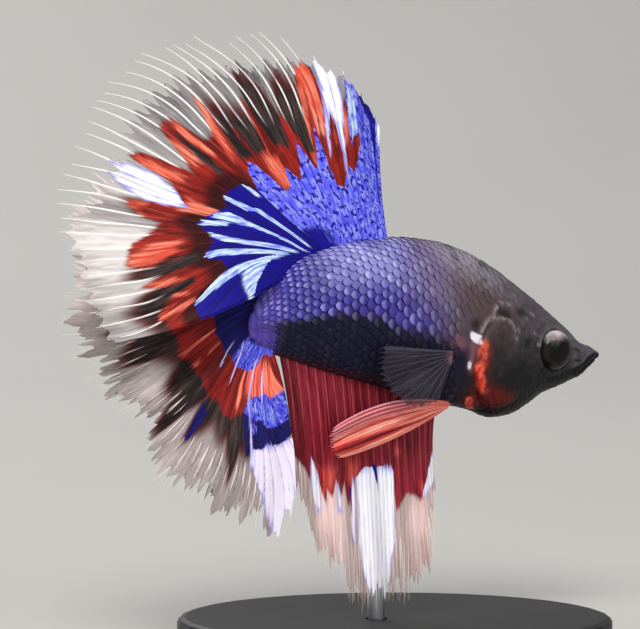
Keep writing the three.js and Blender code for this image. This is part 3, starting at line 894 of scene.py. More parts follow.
def makeMembrane(name, fin, slotName, node, material):
    columns, rows = fin["grid"]
    across, out = np.meshgrid(np.linspace(0, 1, columns), np.linspace(0, 1, rows) ** 0.92, indexing="ij")
    tips = 2 * fin["rays"]
    reached = np.array(out)
    for _ in range(3):
        ray = rayPlace(fin, across, reached)
        comb = valleys(tips, ray)
        lengths = fin["lengths"][np.clip((ray * tips).astype(int), 0, tips)]
        tatter = fin["tatters"][np.clip((ray * fin["rays"] * 8).astype(int), 0, 8 * fin["rays"])]
        edge = fin["edge"](ray) - lengths - fin["notch"](ray) * comb ** 0.7 - fin["ragged"] * tatter
        reached = out * (1 - (1 - edge) * out ** 2)
    middle = finPoint(fin, across, reached)
    normals = finNormals(fin, across, reached)
    rib = valleys(fin["rays"], ray)
    half = web["margin"] + web["foot"] * (1 - out) ** 2 + web["rib"] * (1 - out) * (1 - rib)
    flute = web["flute"] * out * (0.5 - comb)
    front = middle + normals * (half + flute)[..., None]
    back = middle - normals * (half - flute)[..., None]
    count = columns * rows
    points = np.concatenate([front.reshape(-1, 3), back.reshape(-1, 3)])
    upper = gridFaces(columns, rows)
    loop = edgeLoop(columns, rows)
    around = len(loop)
    near = 2 * count + np.arange(around)
    rim = np.stack([near, near + around, np.roll(near, -1) + around, np.roll(near, -1)], -1)
    points = np.concatenate([points, points[loop], points[np.array(loop) + count]])
    faces = np.concatenate([upper, upper[:, ::-1] + count, rim])
    zones = fin["zones"](ray + rayCurl(fin, ray, reached), reached)
    zones["ray"] = ray * fin["rays"]
    zones["out"] = reached
    marks = {key: np.concatenate([value.ravel()] * 2 + [value.ravel()[loop]] * 2)
             for key, value in zones.items()}
    piece = makePiece(name, points, faces, marks, slotName, node)
    piece.data.materials.append(material)


def rayForks(fin):
    # every branch of every ray: where it starts, and how far to the side it has moved by then
    branches = []
    for k in range(fin["rays"]):
        grown = [(tube["starts"], ())]
        for at, aside in fin["forks"]:
            split = []
            for first, turns in grown:
                split.append((first, (*turns, (at, -aside))))
                split.append((at - tube["before"], (*turns, (at, aside))))
            grown = split
        branches.extend((k, first, turns) for first, turns in grown)
    return branches


def makeRays(name, fin, slotName, material):
    # raised rays: each one forks, and its ends stand clear of the membrane
    steps, sides = tube["steps"], tube["sides"]
    total = fin["rays"]
    stray = fin["stray"]
    allPoints, allFaces, rayMarks, outMarks = [], [], [], []
    start = 0
    for k, first, turns in rayForks(fin):
        aim = (k + 0.5 + sum(aside for at, aside in turns)) / total
        length = fin["lengths"][min(int(aim * 2 * total), 2 * total)]
        last = fin["tips"](aim) - 0.6 * length - fin["ragged"] * dice.uniform(-0.2, 1.0)
        last = last + dice.uniform(-0.02, 0.02)
        out = np.linspace(first, last, steps)
        ray = (k + 0.5 + sum(aside * rising(out, at - 0.05, at + 0.28) for at, aside in turns)) / total
        ray = ray + dice.normal(0, stray) * out ** 4 + dice.normal(0, stray) * bump(out, 0.85, 0.12)
        across = acrossOf(fin, ray, out)
        path = finPoint(fin, across, out)
        normal = finNormals(fin, across, out)
        sideways = unit(np.cross(np.gradient(path, axis=0), normal))
        thick = fin["rayWidth"] + (fin["rayTip"] - fin["rayWidth"]) * out
        thick = thick * (1 - rising(out, last - tube["taperFrom"], last + 0.03) * tube["taper"])
        turn = np.linspace(0, 2 * np.pi, sides, endpoint=False)
        ring = (np.cos(turn)[None, :, None] * sideways[:, None, :]
                + tube["flat"] * np.sin(turn)[None, :, None] * normal[:, None, :])
        relief = normal * (tube["raised"] * out)[:, None]
        points = (path + relief)[:, None, :] + ring * thick[:, None, None]
        allPoints.append(points.reshape(-1, 3))
        allFaces.extend([corner + start for corner in face] for face in tubeFaces(steps, sides))
        rayMarks.append(np.repeat(ray, sides))
        outMarks.append(np.repeat(out, sides))
        start += steps * sides
    ray = np.concatenate(rayMarks)
    out = np.concatenate(outMarks)
    marks = fin["zones"](ray + rayCurl(fin, ray, out), out)
    marks["ray"] = ray * total
    marks["out"] = out
    piece = makePiece(name, np.concatenate(allPoints), allFaces, marks, slotName)
    piece.data.materials.append(material)


def finPaint(name, fin, screenTones, onRay=False):
    # the marks are soft: noise drawn out along the rays feathers their edges
    paint = Paint(name)
    tones = {key: colour(*tone) for key, tone in screenTones.items()}
    ray = paint.mark("ray")
    out = paint.mark("out")
    streak = paint.noise(paint.vector(ray * 2.2, out * 2.6), 1.0, 4.0, 0.6)
    fine = paint.noise(paint.vector(ray * 9.0, out * 8.0), 1.0, 3.0, 0.6)
    dash = paint.noise(paint.vector(ray * 3.4, out * 34.0), 1.0, 2.0)
    mottle = paint.noise(paint.vector(ray * 2.6, out * 17.0), 1.0, 3.0)

    def stirred(value, fineShare, streakShare=0.0):
        return value + (fine - 0.5) * fineShare + (streak - 0.5) * streakShare

    def feathered(key, low=0.40, high=0.60, reach=0.95):
        return stirred(paint.mark(key), reach, 0.35).rising(low, high)

    rib = paint.node("Math", {"operation": "PINGPONG"}, [ray * 2 + 0.5, 0.5])
    spine = paint.node("Math", {"operation": "PINGPONG"}, [ray + 0.5, 0.5])
    thread = 1 - rib.rising(0.03, 0.14)
    valley = rib.rising(0.34, 0.48)
    red = paint.mix(tones["redDeep"], tones["redMid"], stirred(streak, 0.5).rising(0.36, 0.60))
    red = paint.mix(red, tones["redDark"], feathered("deep", 0.2, 0.9, 0.5))
    glow = paint.mix(tones["redPale"], tones["redGlow"], stirred(streak, 0.5).rising(0.42, 0.66))
    red = paint.mix(red, glow, stirred(paint.mark("bright"), 0.6, 1.1).rising(0.30, 0.90))
    red = paint.mix(red, tones["redDark"], valley * 0.35)
    blue = paint.mix(tones["blueMid"], tones["bluePale"], stirred(mottle, 0.6).rising(0.40, 0.66))
    blue = paint.mix(blue, tones["blueDeep"], (dash + (mottle - 0.5) * 0.4).rising(0.54, 0.60) * 0.95)
    blue = paint.mix(blue, tones["blueDeep"], valley * fine.rising(0.35, 0.6) * 0.8)
    night = paint.mix(tones["navy"], tones["blueNight"], stirred(streak, 0.5).rising(0.32, 0.66))
    blue = paint.mix(blue, night, feathered("navy"))
    shine = paint.mix(tones["blueShade"], tones["blueShine"], stirred(mottle, 0.6).rising(0.34, 0.56))
    blue = paint.mix(blue, shine, feathered("light", 0.38, 0.62, 1.1) * (1 - valley * 0.55))
    milk = stirred(paint.mark("milk"), 0.8, 0.9).clamped()
    film = paint.mix(tones["clearDark"], tones["clearPale"], milk)
    dark = paint.mix(tones["darkDeep"], tones["darkPale"], stirred(streak, 0.6).rising(0.42, 0.72))
    chalk = ((paint.mark("white") - 0.80) + fine * 0.8 + mottle * 0.4 - valley * 0.35).rising(0.22, 0.72)
    white = paint.mix(tones["whiteShade"], tones["whitePale"], chalk)
    clearShare = stirred(paint.mark("clear"), 0.6, 0.4).rising(0.25, 0.75)
    darkShare = stirred(paint.mark("dark"), 0.7, 0.9).rising(0.15, 0.85)
    redShare = feathered("red")
    blueShare = feathered("blue", 0.44, 0.56, 0.8)
    whiteShare = feathered("white", 0.38, 0.62, 1.1)
    base = red
    for tone, share in ((film, clearShare), (dark, darkShare), (red, redShare), (blue, blueShare),
                        (white, whiteShare)):
        base = paint.mix(base, tone, share)
    above = (1 - blueShare) * (1 - whiteShare)
    solid = (1 - redShare) * above
    bare = clearShare * solid * (1 - darkShare)
    if onRay:
        base = paint.mix(base, tones["rayRed"], redShare * above * fin["rayShow"])
        inBlue = blueShare * (1 - whiteShare) * (1 - paint.mark("light"))
        base = paint.mix(base, tones["blueDeep"], inBlue * 0.45)
        crossing = darkShare * solid * out.rising(0.60, 0.74)
        base = paint.mix(base, tones["rayPale"], (bare * 0.92 + crossing * 0.85).clamped())
        alpha = 1.0
    else:
        base = paint.mix(base, tones["threadTone"], thread * bare * 0.35)
        line = (1 - spine.rising(0.02, 0.09)) * (1 - out.rising(0.20, 0.75)) * redShare * above
        base = paint.mix(base, tones["rayRed"], line * fine.rising(0.25, 0.55) * fin["spineShow"])
        thin = stirred(paint.mark("veil"), 0.5, 0.8).clamped()
        alpha = (1 - bare * (1 - thin)).clamped()
    normal = paint.bumped(fine * 0.6 + streak, 0.25, 0.00008)
    return paint.finish(Base_Color=base, Roughness=0.6, Normal=normal, Alpha=alpha, Specular_IOR_Level=0.14)


def patch(ray, out, stops, soft=0.012, softEnd=0.05):
    # stops are (out, from ray, to ray): the patch's two sides, from its root end to its margin end
    outs, lows, highs = zip(*stops)
    inside = np.minimum(ray - np.interp(out, outs, lows), np.interp(out, outs, highs) - ray) / soft
    ends = np.minimum(out - outs[0], outs[-1] - out) / softEnd
    return np.clip(0.5 + 0.5 * np.minimum(inside, ends), 0, 1)


def patches(ray, out, many, soft=0.012):
    shares = [patch(ray, out, stops, soft) for stops in many]
    return np.max(shares, axis=0)


paintOrder = ["clear", "dark", "red", "blue", "white"]


def bands(ray, out, edges, layers):
    # blue over red over dark over clear, each out to its own edge, then patches laid over them
    zones = {"white": np.zeros_like(ray)}
    inner = np.zeros_like(ray)
    for key, soft in (("blue", 0.035), ("red", 0.06), ("dark", 0.12)):
        zones[key] = np.clip(0.5 + (edges[key](ray) - out) / (2 * soft), 0, 1)
        inner = np.maximum(inner, zones[key])
    zones["clear"] = 1 - inner
    for key, soft, many in layers:
        share = patches(ray, out, many, soft)
        for above in paintOrder[paintOrder.index(key) + 1:]:
            zones[above] = zones[above] * (1 - share)
        zones[key] = np.maximum(zones[key], share)
    return zones


usualTones = {
    "blueDeep": (18, 8, 146), "blueMid": (88, 92, 240), "bluePale": (152, 160, 253),
    "blueShade": (112, 136, 250), "blueShine": (206, 228, 255), "blueNight": (22, 10, 146),
    "navy": (12, 6, 96),
    "redDark": (52, 7, 9), "redDeep": (96, 16, 14), "redMid": (156, 36, 27),
    "redPale": (210, 74, 54), "redGlow": (250, 146, 120), "rayRed": (200, 84, 68),
    "darkDeep": (30, 22, 24), "darkPale": (74, 58, 56),
    "whiteShade": (146, 150, 232), "whitePale": (246, 245, 251),
    "clearDark": (104, 101, 106), "clearPale": (232, 224, 222),
    "rayPale": (252, 248, 246), "threadTone": (236, 230, 228),
}

dorsalEdges = {
    "blue": spiked([
        [0, 1.1], [0.115, 1.1], [0.12, 0.46], [0.14, 0.45], [0.155, 0.4], [0.17, 0.34], [0.2, 0.33],
        [0.207, 0.46], [0.218, 0.63], [0.23, 0.52], [0.25, 0.4], [0.262, 0.42], [0.282, 0.53],
        [0.3, 0.43], [0.325, 0.35], [0.352, 0.43], [0.37, 0.34], [0.4, 0.32], [0.42, 0.42], [0.442, 0.5],
        [0.47, 0.43], [0.49, 0.36], [0.52, 0.42], [0.6, 0.43], [0.64, 0.4], [0.68, 0.44], [0.73, 0.48],
        [0.78, 0.4], [0.83, 0.37], [0.88, 0.42], [0.92, 0.33], [0.97, 0.31], [1, 0.5]]),
    "red": spiked([
        [0, 0], [0.1, 0.2], [0.12, 0.86], [0.14, 0.74], [0.155, 0.66], [0.175, 0.8], [0.19, 0.92],
        [0.215, 0.93], [0.227, 0.84], [0.24, 0.56], [0.26, 0.5], [0.285, 0.62], [0.295, 0.66],
        [0.305, 0.5], [0.345, 0.53], [0.356, 0.78], [0.37, 0.52], [0.405, 0.5], [0.413, 0.75],
        [0.42, 0.6], [0.43, 0.76], [0.445, 0.81], [0.455, 0.7], [0.47, 0.63], [0.495, 0.64], [0.51, 0.79],
        [0.54, 0.79], [0.56, 0.64], [0.58, 0.58], [0.6, 0.8], [0.618, 0.84], [0.627, 0.64], [0.65, 0.6],
        [0.69, 0.63], [0.7, 0.77], [0.715, 0.77], [0.735, 0.68], [0.75, 0.6], [0.785, 0.63], [0.81, 0.71],
        [0.85, 0.76], [0.865, 0.7], [0.88, 0.56], [0.9, 0.72], [0.92, 0.62], [0.95, 0.61], [0.975, 0.7],
        [1, 0.66]]),
    "dark": spiked([
        [0, 0], [0.225, 0.3], [0.232, 0.83], [0.25, 0.82], [0.265, 0.87], [0.285, 0.78], [0.295, 0.64],
        [0.302, 0.74], [0.32, 0.86], [0.345, 0.9], [0.355, 0.6], [0.37, 0.72], [0.4, 0.74], [0.415, 0.77],
        [0.44, 0.74], [0.455, 0.5], [0.5, 0.6], [0.525, 0.8], [0.55, 0.5], [0.62, 0.5], [0.635, 0.68],
        [0.65, 0.3], [0.7, 0.78], [0.74, 0.7], [0.75, 0.5], [0.86, 0.74], [0.88, 0.78], [0.895, 0.5],
        [0.92, 0.74], [0.95, 0.82], [1, 0.74]]),
}
dorsalLayers = [
    ("red", 0.01, [
        [(0.45, 0.118, 0.126), (0.56, 0.095, 0.12), (0.66, 0.083, 0.105), (0.7, 0.084, 0.088)],
        [(0.36, 0.18, 0.2), (0.5, 0.165, 0.19), (0.6, 0.157, 0.178), (0.66, 0.157, 0.165)]]),
    ("dark", 0.02, [
        [(0.48, 0.236, 0.25), (0.6, 0.236, 0.252), (0.72, 0.232, 0.25)],
        [(0.42, 0.858, 0.886), (0.55, 0.852, 0.89), (0.7, 0.868, 0.885)],
        [(0.47, 0.925, 0.945), (0.56, 0.918, 0.942), (0.64, 0.925, 0.935)],
        [(0.5, 0.416, 0.46), (0.6, 0.42, 0.448), (0.76, 0.415, 0.428)],
        [(0.5, 0.52, 0.546), (0.66, 0.52, 0.54), (0.74, 0.524, 0.532)],
        [(0.4, 0.203, 0.213), (0.58, 0.2, 0.208), (0.66, 0.198, 0.204)]]),
    ("white", 0.01, [
        [(0.34, 0.148, 0.153), (0.5, 0.143, 0.152), (0.68, 0.134, 0.158), (0.82, 0.128, 0.176),
         (0.93, 0.132, 0.182), (1.1, 0.15, 0.2)],
        [(0.48, 0.19, 0.194), (0.58, 0.182, 0.19), (0.7, 0.166, 0.18), (0.85, 0.155, 0.18)],
        [(0.55, 0.676, 0.682), (0.62, 0.64, 0.69), (0.7, 0.627, 0.694), (0.8, 0.627, 0.684),
         (0.86, 0.636, 0.672), (0.94, 0.65, 0.656)],
        [(0.8, -0.02, 0.008), (0.92, -0.02, 0.014), (1.1, -0.02, 0.012)]]),
]
dorsalGlow = [
    [(0.6, 0.196, 0.206), (0.75, 0.186, 0.21), (0.88, 0.19, 0.224), (0.95, 0.2, 0.215)],
    [(0.42, 0.247, 0.255), (0.55, 0.238, 0.25), (0.7, 0.222, 0.24), (0.82, 0.216, 0.224)],
    [(0.58, 0.128, 0.137), (0.72, 0.12, 0.134), (0.8, 0.12, 0.128)],
    [(0.54, 0.158, 0.17), (0.64, 0.157, 0.168)],
    [(0.32, 0.372, 0.398), (0.42, 0.35, 0.4), (0.5, 0.345, 0.392)],
    [(0.48, 0.366, 0.38), (0.62, 0.357, 0.362), (0.76, 0.354, 0.358)],
    [(0.5, 0.47, 0.484), (0.62, 0.452, 0.474), (0.8, 0.436, 0.45)],
    [(0.58, 0.5, 0.516), (0.76, 0.506, 0.52)], [(0.6, 0.542, 0.56), (0.74, 0.54, 0.552)],
    [(0.6, 0.596, 0.62), (0.72, 0.6, 0.624), (0.83, 0.606, 0.618)],
    [(0.42, 0.66, 0.69), (0.56, 0.65, 0.695)], [(0.7, 0.7, 0.728), (0.78, 0.704, 0.718)],
    [(0.5, 0.8, 0.84), (0.62, 0.81, 0.856), (0.76, 0.835, 0.86)],
    [(0.54, 0.9, 0.914), (0.7, 0.894, 0.912)],
    [(0.5, 0.958, 0.974), (0.62, 0.926, 0.938), (0.72, 0.896, 0.904)],
    [(0.5, 0.975, 0.99), (0.7, 0.97, 0.985)],
]
dorsalLight = [
    [(0.08, 0.55, 0.59), (0.2, 0.56, 0.582), (0.3, 0.562, 0.58), (0.33, 0.582, 0.606),
     (0.42, 0.592, 0.604)],
    [(0.07, 0.77, 0.8), (0.12, 0.735, 0.765), (0.18, 0.705, 0.728), (0.26, 0.682, 0.704),
     (0.32, 0.668, 0.7), (0.38, 0.655, 0.69), (0.42, 0.672, 0.69)],
    [(0.38, 0.702, 0.722), (0.45, 0.716, 0.734)],
    [(0.09, 0.835, 0.868), (0.18, 0.815, 0.848), (0.26, 0.806, 0.834), (0.33, 0.792, 0.816),
     (0.4, 0.775, 0.788)],
    [(0.11, 0.885, 0.93), (0.2, 0.88, 0.925), (0.28, 0.874, 0.91), (0.34, 0.868, 0.894),
     (0.4, 0.87, 0.886)],
    [(0.2, 0.985, 1.02), (0.35, 0.975, 1.01), (0.52, 0.986, 1.0)],
    [(0.36, 0.508, 0.518), (0.42, 0.51, 0.516)],
    [(0.12, 0.935, 1.0), (0.16, 0.97, 1.1), (0.24, 1.03, 1.2)],
]


def dorsalZones(ray, out):
    zones = bands(ray, out, dorsalEdges, dorsalLayers)
    front = patch(ray, out, [(0.6, 0.19, 0.206), (0.75, 0.184, 0.212), (0.88, 0.188, 0.226),
                             (0.97, 0.2, 0.215)])
    zones["bright"] = patches(ray, out, dorsalGlow, 0.01) + 0.5 * front
    glint = patch(ray, out, [(0.6, 0.088, 0.112), (0.8, 0.082, 0.116), (0.97, 0.09, 0.11)], 0.01)
    zones["light"] = np.maximum(np.clip(1.3 * patches(ray, out, dorsalLight), 0, 1), 0.8 * glint)
    edging = patches(ray, out, [[(0.9, 0.016, 0.045), (0.97, 0.016, 0.085), (1.1, 0.01, 0.1)],
                               [(0.3, 0.012, 0.02), (0.7, 0.016, 0.024), (0.9, 0.014, 0.04)]], 0.01)
    root = 0.7 * (1 - rising(out, 0.1, 0.22)) * rising(ray, 0.16, 0.42)
    zones["navy"] = np.clip(edging + root + rising(ray, 0.485, 0.5), 0, 1)
    zones["deep"] = (1 - rising(out - dorsalEdges["blue"](ray), 0.02, 0.16)) * rising(ray, 0.44, 0.52)
    middle = rising(ray, 0.52, 0.66) * (1 - rising(ray, 0.7, 0.74))
    rear = rising(ray, 0.72, 0.8)
    zones["milk"] = 0.16 + 0.44 * middle + 0.62 * rear * (1 - 0.6 * rising(ray, 0.9, 0.95))
    zones["veil"] = (0.74 - 0.34 * bump(ray, 0.64, 0.06) - 0.3 * rising(out, 0.82, 0.96)
                     + 0.36 * rear - 0.15 * rising(ray, 0.9, 0.97))
    return zones


caudalEdges = {
    "blue": spiked([
        [0, 0.4], [0.1, 0.36], [0.16, 0.34], [0.19, 0.225], [0.25, 0.22], [0.3, 0.25], [0.35, 0.31],
        [0.38, 0.36], [0.395, 0.38], [0.4, 0.28], [0.44, 0.25], [0.55, 0.27], [0.62, 0.25], [0.7, 0.27],
        [0.75, 0.26], [0.8, 0.21], [0.86, 0.18], [0.9, 0.14], [0.94, 0.06], [1, 0.04]]),
    "red": spiked([
        [0, 0.6], [0.05, 0.69], [0.1, 0.77], [0.12, 0.74], [0.14, 0.62], [0.17, 0.6], [0.23, 0.63],
        [0.26, 0.69], [0.28, 0.71], [0.288, 0.6], [0.31, 0.61], [0.33, 0.65], [0.345, 0.55], [0.37, 0.5],
        [0.41, 0.5], [0.43, 0.54], [0.45, 0.49], [0.5, 0.46], [0.53, 0.49], [0.55, 0.48], [0.57, 0.44],
        [0.6, 0.45], [0.65, 0.51], [0.7, 0.49], [0.76, 0.42], [0.8, 0.46], [0.83, 0.42], [0.86, 0.38],
        [0.88, 0.32], [1, 0.24]]),
    "dark": spiked([
        [0, 0.3], [0.14, 0.62], [0.16, 0.66], [0.2, 0.66], [0.21, 0.72], [0.22, 0.5], [0.28, 0.6],
        [0.295, 0.72], [0.312, 0.79], [0.325, 0.66], [0.36, 0.67], [0.41, 0.62], [0.425, 0.8],
        [0.44, 0.66], [0.47, 0.76], [0.495, 0.8], [0.51, 0.6], [0.55, 0.52], [0.58, 0.62], [0.605, 0.7],
        [0.625, 0.74], [0.65, 0.9], [0.67, 0.92], [0.68, 0.66], [0.7, 0.55], [0.72, 0.74], [0.74, 0.64],
        [0.77, 0.53], [0.8, 0.6], [0.815, 0.56], [0.83, 0.66], [0.845, 0.77], [0.855, 0.6], [0.88, 0.6],
        [0.9, 0.3], [1, 0.2]]),
}
caudalLayers = [
    ("dark", 0.02, [
        [(0.34, 0.215, 0.26), (0.44, 0.225, 0.285), (0.52, 0.25, 0.285), (0.6, 0.28, 0.292)],
        [(0.38, 0.292, 0.315), (0.45, 0.3, 0.338), (0.49, 0.325, 0.338)]]),
    ("blue", 0.008, [
        [(0.24, 0.97, 1.1), (0.28, 0.905, 1.1), (0.33, 0.87, 1.1), (0.4, 0.858, 1.1), (0.45, 0.862, 1.1),
         (0.49, 0.866, 0.97), (0.53, 0.87, 0.93), (0.6, 0.874, 0.892)],
        [(0.52, 0.708, 0.738), (0.62, 0.712, 0.734), (0.72, 0.722, 0.728)]]),
    ("white", 0.01, [
        [(0.47, 0.955, 0.975), (0.51, 0.935, 1.1), (0.55, 0.895, 1.1), (0.62, 0.888, 1.1),
         (0.66, 0.905, 1.1), (0.7, 0.93, 1.1), (0.8, 0.946, 1.1), (0.9, 0.957, 1.1), (1.1, 0.97, 1.1)],
        [(0.1, 0.882, 0.898), (0.2, 0.88, 0.892), (0.3, 0.876, 0.886), (0.4, 0.881, 0.889),
         (0.5, 0.884, 0.892), (0.64, 0.885, 0.9)],
        [(0.15, 0.7, 0.712), (0.2, 0.724, 0.738), (0.26, 0.744, 0.76), (0.32, 0.766, 0.774)],
        [(0.2, 0.648, 0.656), (0.28, 0.66, 0.669), (0.36, 0.669, 0.675)],
        [(0.13, 0.955, 0.968), (0.2, 0.948, 0.962), (0.3, 0.942, 0.95)],
        [(0.72, -0.1, 0.08), (0.82, -0.1, 0.085), (0.95, -0.1, 0.06)]]),
]
caudalGlow = [
    [(0.45, 0.165, 0.19), (0.52, 0.185, 0.225), (0.58, 0.205, 0.258), (0.64, 0.24, 0.282),
     (0.71, 0.266, 0.284)],
    [(0.4, 0.34, 0.368), (0.5, 0.335, 0.35), (0.64, 0.326, 0.338)],
    [(0.42, 0.27, 0.285), (0.5, 0.295, 0.315)],
    [(0.28, 0.446, 0.464), (0.4, 0.432, 0.45), (0.54, 0.42, 0.436)],
    [(0.26, 0.528, 0.54), (0.36, 0.532, 0.542), (0.48, 0.538, 0.548)],
    [(0.4, 0.588, 0.604), (0.45, 0.588, 0.602)], [(0.22, 0.588, 0.6), (0.34, 0.592, 0.602)],
    [(0.18, 0.824, 0.84), (0.3, 0.822, 0.85), (0.38, 0.825, 0.838)],
    [(0.08, 0.86, 1.1), (0.16, 0.85, 1.1), (0.24, 0.855, 1.1), (0.3, 0.86, 0.93)],
]
caudalLight = [
    [(0.1, 0.0, 0.3), (0.12, 0.05, 0.33), (0.14, 0.24, 0.36), (0.17, 0.3, 0.43), (0.19, 0.36, 0.42)],
    [(0.16, 0.0, 0.25), (0.205, 0.05, 0.29), (0.225, 0.26, 0.31), (0.25, 0.29, 0.335),
     (0.29, 0.325, 0.362), (0.34, 0.355, 0.382), (0.385, 0.385, 0.394)],
    [(0.3, 0.0, 0.12), (0.33, 0.02, 0.16)], [(0.28, 0.92, 1.1), (0.33, 0.89, 1.1), (0.38, 0.9, 0.95)],
]


def caudalZones(ray, out):
    zones = bands(ray, out, caudalEdges, caudalLayers)
    zones["bright"] = patches(ray, out, caudalGlow, 0.01)
    light = np.clip(1.25 * patches(ray, out, caudalLight, 0.01), 0, 1)
    zones["light"] = light * (1 - 0.62 * rising(ray, 0.85, 0.9))
    # navy across the middle rays at the root: partly the fin's own dark colour, partly painted shadow cast
    # by the dorsal fin
    root = rising(ray, 0.4, 0.44) * (1 - 0.65 * rising(ray, 0.66, 0.72)) * (1 - rising(ray, 0.8, 0.86))
    gap = bump(ray, 0.9, 0.02) * bump(out, 0.44, 0.05)
    lobe = rising(ray, 0.84, 0.86) * rising(out, 0.35, 0.42) * (1 - 0.6 * gap)
    zones["navy"] = np.clip(root + lobe + patch(ray, out, [(0.24, 0.0, 0.22), (0.29, 0.0, 0.16)])
                            + patch(ray, out, [(0.5, 0.7, 0.75), (0.8, 0.7, 0.75)]), 0, 1)
    shadow = patch(ray, out, [(0.2, 0.6, 0.72), (0.5, 0.6, 0.72)], 0.03)
    zones["deep"] = 0.75 * bump(ray, 0.38, 0.05) + 0.6 * shadow
    flush = spot(ray, out, (0.555, 0.68), (0.04, 0.13))
    pink = (1 - rising(ray, 0.34, 0.4)) + 0.9 * flush + 0.18 * rising(ray, 0.62, 0.68)
    zones["milk"] = np.clip(0.2 + 0.8 * pink - 0.12 * rising(ray, 0.72, 0.8), 0, 1)
    haze = spot(ray, out, (0.555, 0.7), (0.05, 0.16))
    zones["veil"] = 0.66 + 0.32 * (1 - rising(ray, 0.32, 0.4)) + 0.3 * haze
    return zones


analEdges = {
    "blue": steady(-1.0),
    "red": spiked([
        [0, 0.4], [0.03, 0.45], [0.06, 0.5], [0.1, 0.53], [0.15, 0.57], [0.2, 0.52], [0.26, 0.5],
        [0.3, 0.54], [0.335, 0.58], [0.345, 0.42], [0.42, 0.41], [0.53, 0.4], [0.55, 0.45], [0.6, 0.45],
        [0.64, 0.54], [0.66, 0.58], [0.68, 0.5], [0.7, 0.62], [0.73, 0.54], [0.76, 0.63], [0.79, 0.6],
        [0.8, 0.67], [0.83, 0.62], [0.85, 0.53], [0.88, 0.52], [0.905, 0.7], [1, 0.72]]),
    "dark": steady(-1.0),
}
analLayers = [
    ("white", 0.01, [
        [(0.385, 0.355, 0.4), (0.4, 0.345, 0.545), (0.45, 0.343, 0.6), (0.6, 0.35, 0.592),
         (0.72, 0.352, 0.598), (0.8, 0.38, 0.588), (0.88, 0.392, 0.56), (0.95, 0.415, 0.535),
         (1.1, 0.45, 0.51)],
        [(0.46, 0.608, 0.625), (0.56, 0.612, 0.65), (0.66, 0.622, 0.65), (0.73, 0.63, 0.642)],
        [(0.35, -0.1, 0.012), (0.42, -0.1, 0.045), (0.48, 0.0, 0.075), (0.53, 0.02, 0.125),
         (0.57, 0.07, 0.14)],
        [(0.5, 0.868, 0.884), (0.6, 0.845, 0.894), (0.7, 0.835, 0.895), (0.74, 0.84, 0.87)],
        [(0.58, 0.715, 0.735), (0.7, 0.7, 0.725)]]),
    ("blue", 0.004, [
        [(0.38, 0.465, 0.49), (0.42, 0.455, 0.475), (0.47, 0.452, 0.462)],
        [(0.5, 0.636, 0.646), (0.58, 0.638, 0.646)]]),
    ("clear", 0.006, [
        [(0.5, 0.594, 0.606), (0.64, 0.598, 0.604)]]),
]


def analZones(ray, out):
    zones = bands(ray, out, analEdges, analLayers)
    zones["bright"] = patches(ray, out, [
        [(0.46, 0.06, 0.16), (0.5, 0.09, 0.17), (0.56, 0.13, 0.15)],
        [(0.28, 0.26, 0.34), (0.34, 0.27, 0.35)], [(0.36, 0.54, 0.66), (0.5, 0.6, 0.68)],
        [(0.48, 0.7, 0.86), (0.66, 0.79, 0.83)]], 0.03) * 0.75
    zones["light"] = np.zeros_like(ray)
    zones["navy"] = np.full_like(ray, 0.8)
    zones["deep"] = np.clip(0.55 * spot(ray, out, (0.2, 0.28), (0.13, 0.14))
                            + 0.5 * rising(ray, 0.86, 0.94)
                            + 0.5 * spot(ray, out, (0.36, 0.36), (0.05, 0.06)), 0, 1)
    cream = spot(ray, out, (0.78, 0.74), (0.07, 0.06)) + spot(ray, out, (0.2, 0.66), (0.07, 0.1))
    pink = rising(ray, 0.65, 0.7) * (1 - rising(ray, 0.85, 0.9)) + 0.5 * (1 - rising(ray, 0.24, 0.3))
    zones["milk"] = np.clip(0.25 + 0.5 * pink + 0.5 * cream, 0, 1)
    zones["veil"] = (0.7 + 0.25 * np.clip(pink + cream, 0, 1) - 0.2 * bump(ray, 0.29, 0.04)
                     - 0.2 * rising(out, 0.8, 1))
    return zones


def plainZones(ray, marks):
    none = np.zeros_like(ray)
    keys = ("blue", "red", "dark", "white", "clear", "bright", "light", "navy", "deep", "milk", "veil")
    return {key: marks.get(key, none) + none for key in keys}


def pelvicZones(ray, out):
    upper = (1 - rising(ray, 0.3, 0.5)) * rising(out, 0.22, 0.42)
    stripes = 0.5 + 0.5 * np.sin(2 * np.pi * (8.5 * ray + 0.15 * out))
    fold = patch(ray, out, [(0.3, 0.8, 0.84), (0.5, 0.75, 0.85), (0.8, 0.7, 0.84), (1.0, 0.74, 0.8)],
                 0.04, 0.08)
    lines = 0.35 * np.sin(2 * np.pi * 5.5 * ray)
    return plainZones(ray, {
        "red": 1.0, "white": 0.95 * upper * rising(stripes, 0.35, 0.75), "deep": 0.9 * fold,
        "bright": np.clip(0.75 + lines - fold - 0.9 * upper, 0, 1), "milk": 0.5, "veil": 0.8})


def pectoralZones(ray, out):
    smoke = 0.55 + 0.45 * np.sin(2 * np.pi * 8 * ray)
    top = bump(ray, 0.02, 0.06) + 0.5 * spot(ray, out, (0.55, 0.6), (0.05, 0.4))
    return plainZones(ray, {"clear": 1.0, "milk": np.clip(0.25 * smoke + 0.7 * top, 0, 1),
                            "veil": 0.52 - 0.12 * out + 0.15 * top,
                            "red": 0.55 * (1 - rising(out, 0.04, 0.2))})


finSunk = 0.9      # how deep the fins' roots lie in the body


def dorsalRoot(a):
    t = 0.615 + 0.275 * (1 - (1 - a) ** 2)
    return beside(t, 0, body["top"](t) - finSunk)


def caudalRoot(a):
    swing = np.radians(62 + 230 * a)
    return beside(0.955 - 0.012 * np.cos(swing), 0, 34.9 + 3.0 * np.sin(swing))


def analRoot(a):
    t = 0.462 + 0.468 * a
    return beside(t, 0, body["bottom"](t) + finSunk)


